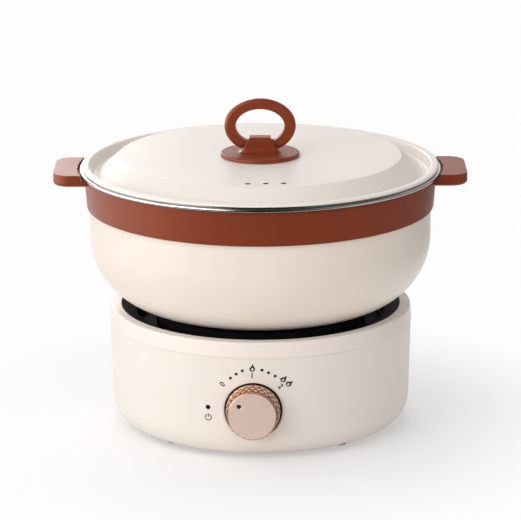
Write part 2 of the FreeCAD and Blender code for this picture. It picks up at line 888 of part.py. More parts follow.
def make_indicator_lens():
    """Dark lens with a flange behind the wall and a socket for the lamp."""
    # the flat flange stays clear of the curved wall by its own sagitta and a gap
    sag = lens_flange_radius ** 2 / (2 * (base_radius - base_wall)) + mould_gap / 2
    flange_front = -base_wall - sag
    lens = turned([
        (0, flange_front - lens_flange),
        (lens_flange_radius, flange_front - lens_flange),
        (lens_flange_radius, flange_front),
        (lens_radius, flange_front),
        (lens_radius, lens_proud, 0.3),
        (0, lens_proud),
    ])
    return on_lamp_axis(lens)


def make_indicator_lamp():
    """Small lamp behind the lens."""
    sag = lens_flange_radius ** 2 / (2 * (base_radius - base_wall)) + mould_gap / 2
    front = -base_wall - sag - lens_flange
    return on_lamp_axis(cylinder(lamp_radius, lamp_length, UP * (front - lamp_length)))


# ---- power inlet ----
def inlet_block(width, height, depth, proud):
    """A block centred on the inlet, from its face inwards and outwards."""
    face = outline_face(rounded_rectangle(width, height, inlet_corner), side_view)
    face.translate(Vector(0, inlet_face - depth, inlet_height))
    return upright(face.extrude(Vector(0, depth + proud, 0)))


def pin_blocks(width, thickness, start, end):
    """The three flat pins between two depths."""
    pins = []
    for across, rise in ((-pin_pitch, -pin_rise / 2), (0, pin_rise), (pin_pitch, -pin_rise / 2)):
        middle = inlet_height + rise
        pins.append(box((across - thickness / 2, start, middle - width / 2),
                        (across + thickness / 2, end, middle + width / 2)))
    return pins


def make_inlet_socket():
    """Appliance inlet: flange, body and a cavity round three pins."""
    around_it = 2 * mould_gap
    flange = inlet_block(inlet_flange_width - around_it, inlet_flange_height - around_it,
                         inlet_flange_thickness, 0)
    body = inlet_block(inlet_body_width - around_it, inlet_body_height - around_it,
                       inlet_body_depth, 0)
    cavity = inlet_block(inlet_cavity_width, inlet_cavity_height, inlet_cavity_depth, overcut)
    slots = pin_blocks(pin_width, pin_thickness,
                       inlet_face - inlet_body_depth, inlet_face - inlet_cavity_depth)
    return joined([flange, body]).cut([cavity] + slots)


def make_inlet_pins():
    """Three flat pins that run through the inlet's back wall."""
    back = inlet_face - inlet_body_depth - pin_tail
    front = inlet_face - inlet_cavity_depth + pin_length
    return pin_blocks(pin_width, pin_thickness, back, front)


# ---- internal wiring ----
def wire_ends():
    """Where the wires start and stop: inlet tabs, thermostat tabs and heater ends."""
    inlet_back = inlet_face - inlet_body_depth - pin_tail
    tab_low = inlet_height - pin_rise / 2
    inlet_tabs = [Vector(-pin_pitch, inlet_back, tab_low), Vector(pin_pitch, inlet_back, tab_low)]
    thermostat_back = pad_back + thermostat_depth
    thermostat_tabs = [
        Vector(-pin_pitch, thermostat_back, knob_height),
        Vector(pin_pitch, thermostat_back, knob_height),
    ]
    heater_tabs = [end - UP * element_leg for end in element_ends()]
    return inlet_tabs, thermostat_tabs, heater_tabs


def make_spade_connectors():
    """Sleeved connectors on every tab that a wire reaches."""
    inlet_tabs, thermostat_tabs, heater_tabs = wire_ends()
    sleeves = [cylinder(crimp_radius, crimp_length, tab, FORWARD) for tab in inlet_tabs]
    sleeves += [cylinder(crimp_radius, crimp_length, tab, Vector(0, 1, 0)) for tab in thermostat_tabs]
    sleeves += [cylinder(crimp_radius, crimp_length, tab - UP * crimp_length) for tab in heater_tabs]
    return sleeves


def make_internal_wires():
    """Three insulated wires: inlet to heater, inlet to thermostat, thermostat to heater."""
    inlet_tabs, thermostat_tabs, heater_tabs = wire_ends()
    inlet_left, inlet_right = [tab + FORWARD * crimp_length for tab in inlet_tabs]
    dial_left, dial_right = [tab - FORWARD * crimp_length for tab in thermostat_tabs]
    heater_right, heater_left = [tab - UP * crimp_length for tab in heater_tabs]
    lead = 1.5 * wire_bend
    low = base_floor + 2 * wire_bend
    routes = [
        [inlet_left, inlet_left + FORWARD * lead,
         Vector(heater_left.x, heater_left.y, inlet_left.z), heater_left],
        [inlet_right, inlet_right + FORWARD * 2 * lead, Vector(2 * lead, 0, low),
         dial_right - FORWARD * 2 * lead, dial_right],
        [dial_left, dial_left - FORWARD * 2 * lead, Vector(-2 * lead, -lead, low),
         Vector(heater_right.x, heater_right.y, low + lead / 2), heater_right],
    ]
    return [bent_tube(route, wire_radius, wire_bend) for route in routes]


# ---- pot ----
def make_pot_body():
    """Drawn steel pot with a rolled rim and a wider collar that the lid drops into."""
    flange = pot_rim - pot_sheet
    collar_bottom = pot_rim - collar_depth
    wall = turned_sheet([
        (rim_radius, flange),
        (collar_radius, flange, 1.2),
        (collar_radius, collar_bottom, 1.5),
        (pot_radius, collar_bottom - collar_step, 1.5),
        (pot_radius, pot_floor, pot_corner),
        (0, pot_floor),
    ], pot_sheet)
    bead = Part.makeTorus(rim_radius, rim_bead, UP * (pot_rim - rim_bead))
    return joined([wall, bead])


def make_pot_base_disc():
    """Capsule disc under the pot that spreads the heat."""
    disc = turned([
        (0, pot_floor - pot_disc_thickness),
        (pot_disc_radius - 1.5, pot_floor - pot_disc_thickness, 0.8),
        (pot_disc_radius, pot_floor, 0.0),
        (0, pot_floor),
    ])
    return disc


def pot_outside():
    """The pot's outer envelope, for cutting what wraps it."""
    collar_bottom = pot_rim - collar_depth
    return turned([
        (0, band_bottom - overcut),
        (pot_radius, band_bottom - overcut),
        (pot_radius, collar_bottom - collar_step, 1.5),
        (collar_radius, collar_bottom, 1.5),
        (collar_radius, pot_rim + overcut),
        (0, pot_rim + overcut),
    ])


def handle_plan(half_width):
    """Plan outline of the right-hand handle."""
    inside = math.sqrt(pot_radius ** 2 - half_width ** 2) - overcut
    return [
        (inside, -half_width),
        (handle_tip, -half_width, handle_corner),
        (handle_tip, half_width, handle_corner),
        (inside, half_width),
    ]


def level_edges(shape, height, beyond):
    """Edges of a shape that lie at a height and reach past a distance along X."""
    found = []
    for edge in shape.Edges:
        bounds = edge.BoundBox
        level = abs(bounds.ZMin - height) < weld and abs(bounds.ZMax - height) < weld
        if level and bounds.XMax > beyond:
            found.append(edge)
    return found


def make_lug():
    """The right-hand handle with rounded outline edges, before it is fused to the band."""
    lug = prism(handle_plan(handle_half_width), handle_bottom, handle_top)
    lug = lug.makeFillet(handle_top_edge, level_edges(lug, handle_top, pot_radius))
    lug = lug.makeFillet(handle_bottom_edge, level_edges(lug, handle_bottom, pot_radius))
    rim_clearance = rim_radius + rim_bead + handle_rim_gap
    return lug.cut(cylinder(rim_clearance, handle_thickness, UP * (band_top - weld)))


def bracket_screw_points():
    """The two screws of the right-hand handle, level with the underside of the bracket's tab."""
    under = pot_rim - bracket_drop - bracket_sheet
    return [Vector(handle_screw_reach, side * handle_screw_offset, under) for side in (-1, 1)]


def make_handle_band():
    """Moulded band round the pot with a handle on each side."""
    band = turned([
        (pot_radius - overcut, band_top),
        (band_top_radius, band_top, 0.8),
        (band_bottom_radius, band_bottom, 0.6),
        (pot_radius - overcut, band_bottom),
    ])
    root = turned([
        (pot_radius, handle_bottom - root_fillet),
        (band_bottom_radius, handle_bottom - root_fillet),
        (band_top_radius, handle_bottom + weld, 0.7 * root_fillet),
        (band_top_radius + 2 * root_fillet, handle_bottom + weld),
        (pot_radius, handle_bottom + weld),
    ])
    root_half_width = handle_half_width - handle_bottom_edge
    plan = prism(handle_plan(root_half_width), handle_bottom - root_fillet, handle_bottom + weld)
    pieces = [make_lug(), root.common(plan)]
    cuts = [pot_outside()] + mirrored(make_bracket())
    for screw in bracket_screw_points():
        seat = screw - UP * handle_screw_grip
        boss_bottom = seat - UP * (screw_head_height + mould_gap)
        pieces.append(cylinder(handle_boss_radius, screw.z - boss_bottom.z, boss_bottom))
        cuts += mirrored(cylinder(screw_radius, handle_screw_length() + mould_gap, seat))
        pocket = cylinder(screw_head_radius + mould_gap, handle_thickness, seat - UP * handle_thickness)
        cuts += mirrored(pocket)
    return joined([band] + mirrored(joined(pieces))).cut(cuts)


def handle_screw_length():
    """Through the moulding and the tab, and a little beyond."""
    return handle_screw_grip + 2 * bracket_sheet


def make_bracket():
    """Steel angle spot-welded to the pot's collar, with a tab inside the handle."""
    top = pot_rim - bracket_drop
    bottom = top - bracket_sheet
    tab = box((pot_radius, -bracket_half_width, bottom),
              (collar_radius + bracket_reach, bracket_half_width, top))
    leg = tube(collar_radius + bracket_sheet, collar_radius, bracket_leg, UP * bottom)
    leg = leg.common(box((0, -bracket_half_width, 0), (handle_tip, bracket_half_width, pot_rim)))
    return joined([tab, leg]).cut(pot_outside())


def make_handle_brackets():
    bracket = make_bracket()
    for screw in bracket_screw_points():
        bracket = bracket.cut(cylinder(screw_radius, 4 * bracket_sheet, screw - UP * bracket_sheet))
    return mirrored(bracket)


def make_handle_screws():
    """Two screws under each handle, up into its bracket."""
    screws = []
    for point in bracket_screw_points():
        seat = point - UP * handle_screw_grip
        screw = screw_up(seat, handle_screw_length(), screw_radius, screw_head_radius, screw_head_height)
        screws += mirrored(screw)
    return screws


# ---- lid ----
def lid_path():
    """Upper face of the lid from its centre to its turned-down edge."""
    return [
        (0, lid_centre),
        (lid_flat_radius, lid_centre),
        (lid_plateau_radius, lid_rim + lid_crown, 2.5),
        (lid_foot_radius, lid_rim - lid_channel_depth, 3.0),
        (lid_channel_radius, lid_rim - lid_channel_depth, 1.2),
        (lid_bead_radius, lid_rim, 1.8),
        (lid_radius, lid_rim, 2.0),
        (lid_radius, lid_rim - lid_lip),
    ]


def make_lid_panel():
    """Pressed lid with three steam vents and a centre hole for the handle screw."""
    panel = turned_sheet(lid_path(), lid_sheet)
    holes = [cylinder(handle_screw_radius + mould_gap, 4 * lid_sheet, UP * (lid_centre - 2 * lid_sheet))]
    for index in (-1, 0, 1):
        vent_foot = Vector(index * vent_pitch, -vent_circle, lid_rim + lid_crown - overcut)
        vent = cylinder(vent_radius, 2 * overcut, vent_foot)
        vent.rotate(Vector(0, 0, 0), UP, vent_turn)
        holes.append(vent)
    return panel.cut(holes)


def saddle_outline():
    """Front view of the saddle: a truncated wedge whose feet flare into the disc."""
    foot = saddle_foot_width / 2
    top = saddle_top_width / 2
    low = disc_top - disc_thickness / 2
    return [
        (-foot - 2 * saddle_flare, low),
        (foot + 2 * saddle_flare, low),
        (foot + 2 * saddle_flare, disc_top),
        (foot, disc_top, saddle_flare),
        (top, disc_top + saddle_height, saddle_corner),
        (-top, disc_top + saddle_height, saddle_corner),
        (-foot, disc_top, saddle_flare),
        (-foot - 2 * saddle_flare, disc_top),
    ]


def saddle_edges(wedge):
    """The sloping and upper outline edges on the saddle's front and back faces."""
    found = []
    for edge in wedge.Edges:
        bounds = edge.BoundBox
        flat = bounds.YMax - bounds.YMin < weld
        if flat and bounds.ZMin > disc_top - mould_gap and bounds.ZMax > disc_top + mould_gap:
            found.append(edge)
    return found


def ring_reach(across):
    """How far the ring reaches from the bar's axis at this distance from its middle."""
    centre = disc_top + ring_half_height - ring_sink
    drop = pivot - centre + ring_half_height * math.sqrt(1 - (across / ring_half_width) ** 2)
    return math.hypot(ring_depth / 2 - ring_edge, drop - ring_edge) + ring_edge


def make_handle_saddle():
    """Disc and saddle in one moulding; its sides are hollow behind a front skin for the ring."""
    disc = turned([
        (0, lid_centre),
        (disc_radius, lid_centre, 0.6),
        (disc_radius, disc_top, 1.2),
        (0, disc_top),
    ])
    face = outline_face(saddle_outline(), side_view)
    face.translate(Vector(0, -saddle_depth / 2, 0))
    wedge = upright(face.extrude(Vector(0, saddle_depth, 0)))
    wedge = wedge.makeFillet(saddle_edge, saddle_edges(wedge))
    wedge = wedge.common(cylinder(disc_radius - saddle_inset, 3 * saddle_height, UP * lid_centre))
    body = joined([disc, wedge])
    bar_axis = Vector(-disc_radius, 0, pivot)
    along = Vector(1, 0, 0)
    cuts = [cylinder(bar_radius + running_gap, 2 * disc_radius, bar_axis, along)]
    skin_back = -saddle_depth / 2 + saddle_skin
    side_low = (core_half_width, skin_back, pivot + skin_back)
    side = box(side_low, (disc_radius, disc_radius, pivot + saddle_height))
    sweep_start = heel_width - loose_gap
    sweep_radius = ring_reach(sweep_start) + loose_gap
    sweep = cylinder(sweep_radius, disc_radius, Vector(sweep_start, 0, pivot), along)
    cuts += mirrored(side) + mirrored(sweep)
    cuts.append(cylinder(handle_screw_radius, handle_screw_bite, UP * lid_centre))
    return body.cut(cuts)


def ellipse_prism(half_width, half_height, centre_height, depth):
    """An elliptical disc that stands in the XZ plane."""
    ellipse = Part.Ellipse(Vector(0, 0, 0), half_width, half_height)
    face = Part.Face(Part.Wire([ellipse.toShape()]))
    solid = upright(face.extrude(UP * depth))
    solid.rotate(Vector(0, 0, 0), Vector(1, 0, 0), 90)
    solid.translate(Vector(0, depth / 2, centre_height))
    return solid


def make_ring_handle():
    """Oval ring with a straight bar between its feet that turns in the saddle."""
    centre = disc_top + ring_half_height - ring_sink
    outer = ellipse_prism(ring_half_width, ring_half_height, centre, ring_depth)
    inner = ellipse_prism(ring_inner_half_width, ring_inner_half_height, centre, 2 * ring_depth)
    ring = outer.cut(inner)
    rims = [edge for edge in ring.Edges if isinstance(edge.Curve, Part.Ellipse)]
    ring = ring.makeFillet(ring_edge, rims)
    along = Vector(1, 0, 0)
    middle = core_half_width + mould_gap
    gap = box((-middle, -ring_depth, centre - 2 * ring_half_height), (middle, ring_depth, centre))
    ring = ring.cut(gap)
    below = box((-heel_width, -ring_depth, pivot - 2 * ring_half_height), (heel_width, ring_depth, pivot))
    heel = cylinder(ring_depth / 2, 2 * heel_width, Vector(-heel_width, 0, pivot), along)
    ring = ring.cut(below.cut(heel))
    bar_half = middle + bar_bite
    bar = cylinder(bar_radius, 2 * bar_half, Vector(-bar_half, 0, pivot), along)
    return joined([ring, bar])


def make_handle_screw():
    """Screw from below the lid into the saddle."""
    seat = UP * (lid_centre - lid_sheet - washer_thickness)
    length = washer_thickness + lid_sheet + handle_screw_bite - mould_gap
    return screw_up(seat, length, handle_screw_radius, handle_screw_head, screw_head_height)


def make_handle_washer():
    return tube(washer_radius, handle_screw_radius + running_gap, washer_thickness,
                UP * (lid_centre - lid_sheet - washer_thickness))


# ---- steam rack ----
def rack_height():
    """Underside of the rack's rim where the pot's curved wall is as wide as the rack."""
    inner_corner = pot_corner - pot_sheet
    centre_radius = pot_radius - pot_corner
    centre_height = pot_floor + pot_corner
    reach = rack_radius + loose_gap - centre_radius
    return centre_height - math.sqrt(inner_corner ** 2 - reach ** 2)


def make_steam_rack():
    """Perforated plate with a turned-down rim and collared egg holes."""
    top = rack_height() + rack_rim
    plate = turned_sheet([
        (0, top),
        (rack_radius, top, 1.0),
        (rack_radius, top - rack_rim),
    ], rack_sheet)
    centres = [Vector(0, 0, 0)] + around(rack_hole_count, rack_hole_circle, rack_hole_turn)
    outside = rack_hole_radius + rack_collar_width
    collars = []
    cuts = []
    for centre in centres:
        collars.append(cylinder(outside, rack_collar_height, centre + UP * top))
        cuts.append(cylinder(rack_hole_radius, 4 * rack_sheet, centre + UP * (top - 2 * rack_sheet)))
    slot = prism(rounded_rectangle(rack_slot_width, rack_slot_length, rack_slot_width / 2),
                 top - 2 * rack_sheet, top + rack_sheet)
    hole_turn_step = 360.0 / rack_hole_count
    slot_rows = [
        (rack_inner_ring, rack_inner_count),
        (rack_middle_ring, rack_middle_count),
        (rack_radius - rack_outer_inset, rack_outer_count),
    ]
    for radius, count in slot_rows:
        row = slot.copy()
        row.translate(Vector(radius, 0, 0))
        for index in range(count):
            angle = rack_hole_turn + 360.0 * (index + 0.5) / count
            from_hole = (angle - rack_hole_turn + hole_turn_step / 2) % hole_turn_step - hole_turn_step / 2
            across = 2 * radius * math.sin(math.radians(abs(from_hole)) / 2)
            keep_off = outside + rack_slot_length / 2 + rack_web
            if math.hypot(across, radius - rack_hole_circle) > keep_off:
                cuts.append(spin(row, angle))
    return joined([plate] + collars).cut(cuts)


# ---- nodes ----
def group(shapes):
    return Part.makeCompound(shapes) if isinstance(shapes, list) else shapes


HEATER = {
    "base_shell": make_base_shell,
    "base_top_ring": make_base_top_ring,
    "well_liner": make_well_liner,
    "liner_screws": make_liner_screws,
    "reflector_pan": make_reflector_pan,
    "hot_plate": make_hot_plate,
    "plate_posts": make_plate_posts,
    "plate_screws": make_plate_screws,
    "heating_element": make_heating_element,
    "terminal_beads": make_terminal_beads,
    "overheat_cutout": make_overheat_cutout,
    "cutout_clip": make_cutout_clip,
    "thermal_fuse": make_thermal_fuse,
    "fuse_clip": make_fuse_clip,
    "knob_bezel": make_knob_bezel,
    "thermostat_body": make_thermostat_body,
    "thermostat_nut": make_thermostat_nut,
    "indicator_lens": make_indicator_lens,
    "indicator_lamp": make_indicator_lamp,
    "inlet_socket": make_inlet_socket,
    "inlet_pins": make_inlet_pins,
    "spade_connectors": make_spade_connectors,
    "internal_wires": make_internal_wires,
    "bottom_cover": make_bottom_cover,
    "cover_screws": make_cover_screws,
    "base_feet": make_base_feet,
    "knob_body": make_knob_body,
    "knob_face": make_knob_face,
    "control_shaft": make_control_shaft,
}

UPPER = {
    "pot_body": make_pot_body,
    "pot_base_disc": make_pot_base_disc,
    "handle_band": make_handle_band,
    "handle_brackets": make_handle_brackets,
    "handle_screws": make_handle_screws,
    "lid_panel": make_lid_panel,
    "handle_saddle": make_handle_saddle,
    "handle_screw": make_handle_screw,
    "handle_washer": make_handle_washer,
    "ring_handle": make_ring_handle,
    "steam_rack": make_steam_rack,
}


def export():
    os.makedirs("parts", exist_ok=True)
    for name, make in HEATER.items():
        spin(group(make()), heater_turn).exportStep(os.path.join("parts", name + ".step"))
    for name, make in UPPER.items():
        group(make()).exportStep(os.path.join("parts", name + ".step"))


export()
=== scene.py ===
import bpy
import bmesh
import json
import math
from mathutils import Matrix, Vector


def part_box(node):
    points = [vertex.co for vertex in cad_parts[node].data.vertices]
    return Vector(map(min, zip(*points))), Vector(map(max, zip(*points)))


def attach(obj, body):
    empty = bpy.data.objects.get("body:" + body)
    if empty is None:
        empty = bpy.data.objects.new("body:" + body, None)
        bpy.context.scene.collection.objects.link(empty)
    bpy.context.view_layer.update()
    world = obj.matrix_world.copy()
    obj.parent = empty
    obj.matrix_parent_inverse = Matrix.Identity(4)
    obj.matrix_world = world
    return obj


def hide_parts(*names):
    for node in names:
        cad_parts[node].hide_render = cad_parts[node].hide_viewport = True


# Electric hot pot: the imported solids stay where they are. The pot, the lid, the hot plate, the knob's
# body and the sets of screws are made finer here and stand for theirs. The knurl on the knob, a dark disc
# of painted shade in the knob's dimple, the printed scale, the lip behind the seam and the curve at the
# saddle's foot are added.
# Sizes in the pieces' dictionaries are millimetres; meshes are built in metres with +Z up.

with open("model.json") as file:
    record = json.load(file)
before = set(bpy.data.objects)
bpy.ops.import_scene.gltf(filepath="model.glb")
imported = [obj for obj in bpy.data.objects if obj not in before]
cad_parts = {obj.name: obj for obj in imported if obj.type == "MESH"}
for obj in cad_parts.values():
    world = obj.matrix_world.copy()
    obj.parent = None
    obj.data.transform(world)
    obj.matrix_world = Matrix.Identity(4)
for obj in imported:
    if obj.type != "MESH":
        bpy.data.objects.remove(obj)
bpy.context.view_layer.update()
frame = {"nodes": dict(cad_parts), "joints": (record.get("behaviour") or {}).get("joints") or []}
nodes = frame["nodes"]
joints = {joint["name"]: joint for joint in frame["joints"]}
mm = 0.001


# small tools
def linear(hexText):  # sRGB hex to the opaque linear colour that a socket takes
    channels = [int(hexText[index:index + 2], 16) / 255 for index in (0, 2, 4)]
    return tuple(c / 12.92 if c <= 0.04045 else ((c + 0.055) / 1.055) ** 2.4 for c in channels) + (1.0,)


def perMm(size):  # scale of a noise whose cells are this many millimetres wide
    return 1 / (size * mm)


def addNode(tree, kind, settings=None, **inputs):
    # inputs are named by socket; a number in the name picks a socket by its place, as in Value_1, and
    # a node given as a value stands for its first output
    node = tree.nodes.new(kind)
    for name, value in (settings or {}).items():
        setattr(node, name, value)
    for name, value in inputs.items():
        label, _, place = name.rpartition("_")
        socket = node.inputs[int(place) if label and place.isdigit() else name.replace("_", " ")]
        if isinstance(value, bpy.types.Node):
            value = value.outputs[0]
        if isinstance(value, bpy.types.NodeSocket):
            tree.links.new(value, socket)
        else:
            socket.default_value = value
    return node


def addObject(name, data):
    thing = bpy.data.objects.new(name, data)
    bpy.context.scene.collection.objects.link(thing)
    return thing


def unit(vector):
    length = math.hypot(*vector)
    return vector[0] / length, vector[1] / length


def roundedPath(corners, closed=False, arcStep=5):
    # straight runs joined by tangent arcs; a corner is (radius, height) or (radius, height, rounding)
    points = []
    count = len(corners)
    for index, corner in enumerate(corners):
        atEnd = not closed and index in (0, count - 1)
        if len(corner) < 3 or corner[2] <= 0 or atEnd:
            points.append((corner[0], corner[1]))
            continue
        before, after = corners[index - 1], corners[(index + 1) % count]
        back = unit((before[0] - corner[0], before[1] - corner[1]))
        ahead = unit((after[0] - corner[0], after[1] - corner[1]))
        halfAngle = math.acos(max(-1, min(1, back[0] * ahead[0] + back[1] * ahead[1]))) / 2
        towards = unit((back[0] + ahead[0], back[1] + ahead[1]))
        reach = corner[2] / math.tan(halfAngle)
        away = corner[2] / math.sin(halfAngle)
        centre = (corner[0] + towards[0] * away, corner[1] + towards[1] * away)
        start = math.atan2(corner[1] + back[1] * reach - centre[1],
                           corner[0] + back[0] * reach - centre[0])
        sweep = math.pi - 2 * halfAngle
        if back[0] * ahead[1] - back[1] * ahead[0] > 0:
            sweep = -sweep
        steps = max(2, round(abs(math.degrees(sweep)) / arcStep))
        for step in range(steps + 1):
            angle = start + sweep * step / steps
            points.append((centre[0] + corner[2] * math.cos(angle),
                           centre[1] + corner[2] * math.sin(angle)))
    return points


def offsetPath(corners, distance):
    # the path moved to the right of its direction, with its roundings adjusted
    directions = [unit((b[0] - a[0], b[1] - a[1])) for a, b in zip(corners, corners[1:])]
    moved = []
    for index, corner in enumerate(corners):
        before = directions[max(index - 1, 0)]
        after = directions[min(index, len(directions) - 1)]
        scale = distance / (1 + before[0] * after[0] + before[1] * after[1])
        leftTurn = before[0] * after[1] - before[1] * after[0] > 0
        rounding = corner[2] if len(corner) > 2 else 0
        if rounding > 0:
            rounding += distance if leftTurn else -distance
        moved.append((corner[0] + (before[1] + after[1]) * scale,
                      corner[1] - (before[0] + after[0]) * scale, max(rounding, 0)))
    return moved


def finishMesh(name, bm, materials, sharpAngle=32):
    # merges doubles, points the faces outwards, marks sharp edges and makes the object at the origin
    bmesh.ops.remove_doubles(bm, verts=bm.verts, dist=1e-7)
    bmesh.ops.dissolve_degenerate(bm, dist=1e-8, edges=bm.edges)
    if bm.calc_volume(signed=True) < 0:
        bmesh.ops.reverse_faces(bm, faces=bm.faces)
    for edge in bm.edges:
        edge.smooth = len(edge.link_faces) == 2 and edge.calc_face_angle(0) < math.radians(sharpAngle)
    for face in bm.faces:
        face.smooth = True
    mesh = bpy.data.meshes.new(name)
    bm.to_mesh(mesh)
    bm.free()
    for material in materials:
        mesh.materials.append(material)
    return addObject(name, mesh)


def turnedPiece(name, stretches, materials, segments=256, sharpAngle=32):
    # a solid of revolution; each stretch is (points in mm, material number), and the outline closes itself
    profile = []
    for points, finish in stretches:
        profile += [(point[0], point[1], finish) for point in points]
    bm = bmesh.new()
    rings = []
    for radius, height, finish in profile:
        if radius < 1e-6:
            rings.append([bm.verts.new((0, 0, height * mm))] * segments)
            continue
        ring = []
        for index in range(segments):
            angle = 2 * math.pi * index / segments
            place = (radius * math.cos(angle) * mm, radius * math.sin(angle) * mm, height * mm)
            ring.append(bm.verts.new(place))
        rings.append(ring)
    for index, ring in enumerate(rings):
        following = rings[(index + 1) % len(rings)]
        finish = profile[(index + 1) % len(rings)][2]
        for side in range(segments):
            other = (side + 1) % segments
            corners = [ring[side], ring[other], following[other], following[side]]
            distinct = list(dict.fromkeys(corners))
            if len(distinct) > 2:
                bm.faces.new(distinct).material_index = finish
    return finishMesh(name, bm, materials, sharpAngle)


def cutAway(piece, cutters, sharpAngle=32):
    # cuts closed solids out of a piece and puts the result in its mesh
    for cutter in cutters:
        modifier = piece.modifiers.new("cut", "BOOLEAN")
        modifier.operation = "DIFFERENCE"
        modifier.solver = "FAST"
        modifier.object = cutter
    settleModifiers(piece)
    piece.data.set_sharp_from_angle(angle=math.radians(sharpAngle))
    for cutter in cutters:
        bpy.data.objects.remove(cutter)


def plainMesh(thing):  # what a curve or a piece with modifiers comes to
    graph = bpy.context.evaluated_depsgraph_get()
    return bpy.data.meshes.new_from_object(thing.evaluated_get(graph), depsgraph=graph)


def settleModifiers(piece):
    mesh = plainMesh(piece)
    piece.modifiers.clear()
    piece.data = mesh


def toolSolid(name, radius, low, high, centre, materials, sides=48):
    # a closed round tool that cuts a hole and leaves its material on the wall
    bm = bmesh.new()
    bmesh.ops.create_cone(bm, cap_ends=True, segments=sides, radius1=radius * mm, radius2=radius * mm,
                          depth=(high - low) * mm)
    bmesh.ops.translate(bm, verts=bm.verts, vec=(centre[0] * mm, centre[1] * mm, (low + high) / 2 * mm))
    return finishMesh(name, bm, materials)


def finish(piece, body, slot, *stoodFor):
    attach(piece, body)
    if stoodFor:
        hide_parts(*stoodFor)


# materials
surface = {"patchDetail": 3.0, "cloudShare": 5, "cloudDetail": 4.0, "grainDetail": 2.0,
           "grainStrength": 0.6, "lineDetail": 3.0}  # shared by every finish


def newMaterial(look):
    # look: two close tones, their patch size, roughness with its spread, and a fine grain in the surface
    material = bpy.data.materials.new(look["name"])
    material.use_nodes = True
    tree = material.node_tree
    shader = tree.nodes["Principled BSDF"]
    place = addNode(tree, "ShaderNodeTexCoord").outputs["Object"]
    patches = addNode(tree, "ShaderNodeTexNoise", Vector=place, Scale=perMm(look["patchMm"]),
                      Detail=surface["patchDetail"])
    tone = addNode(tree, "ShaderNodeMix", {"data_type": "RGBA"}, Factor=patches,
                   A_6=linear(look["light"]), B_7=linear(look["shade"]))
    cloud = addNode(tree, "ShaderNodeTexNoise", Vector=place, Detail=surface["cloudDetail"],
                    Scale=perMm(look["patchMm"] / surface["cloudShare"]))
    gloss = addNode(tree, "ShaderNodeMapRange", Value=cloud, To_Min=look["roughness"] - look["spread"],
                    To_Max=look["roughness"] + look["spread"])
    grain = addNode(tree, "ShaderNodeTexNoise", Vector=place, Scale=perMm(look["grainMm"]),
                    Detail=surface["grainDetail"])
    bump = addNode(tree, "ShaderNodeBump", Strength=surface["grainStrength"],
                   Distance=look["grainDepthMm"] * mm, Height=grain)
    tree.links.new(tone.outputs[2], shader.inputs["Base Color"])
    tree.links.new(gloss.outputs["Result"], shader.inputs["Roughness"])
    tree.links.new(bump.outputs["Normal"], shader.inputs["Normal"])
    for socket, value in look["sockets"].items():
        shader.inputs[socket].default_value = linear(value) if isinstance(value, str) else value
    if "lines" in look:
        addTurnedLines(tree, shader, place, bump, look["lines"])
    if look.get("roundTangent"):  # stretches each highlight across the turned rings
        tangent = addNode(tree, "ShaderNodeTangent", {"direction_type": "RADIAL", "axis": "Z"})
        tree.links.new(tangent.outputs["Tangent"], shader.inputs["Tangent"])
    return material


def addTurnedLines(tree, shader, place, bump, lines):
    # rings left by a lathe or a buffing wheel: noise that depends on radius and height only, and is
    # drawn coarser than the real lines, which are too fine to show
    flat = addNode(tree, "ShaderNodeVectorMath", {"operation": "MULTIPLY"}, Vector_0=place,
                   Vector_1=(1, 1, 0))
    length = addNode(tree, "ShaderNodeVectorMath", {"operation": "LENGTH"}, Vector_0=flat)
    split = addNode(tree, "ShaderNodeSeparateXYZ", Vector=place)
    across = addNode(tree, "ShaderNodeCombineXYZ", X=length.outputs[1], Y=split.outputs["Z"])
    noise = addNode(tree, "ShaderNodeTexNoise", Vector=across, Scale=perMm(lines["lineMm"]),
                    Detail=surface["lineDetail"])
    rings = addNode(tree, "ShaderNodeBump", Strength=lines["strength"], Distance=lines["depthMm"] * mm,
                    Height=noise, Normal=bump)
    tree.links.new(rings.outputs["Normal"], shader.inputs["Normal"])


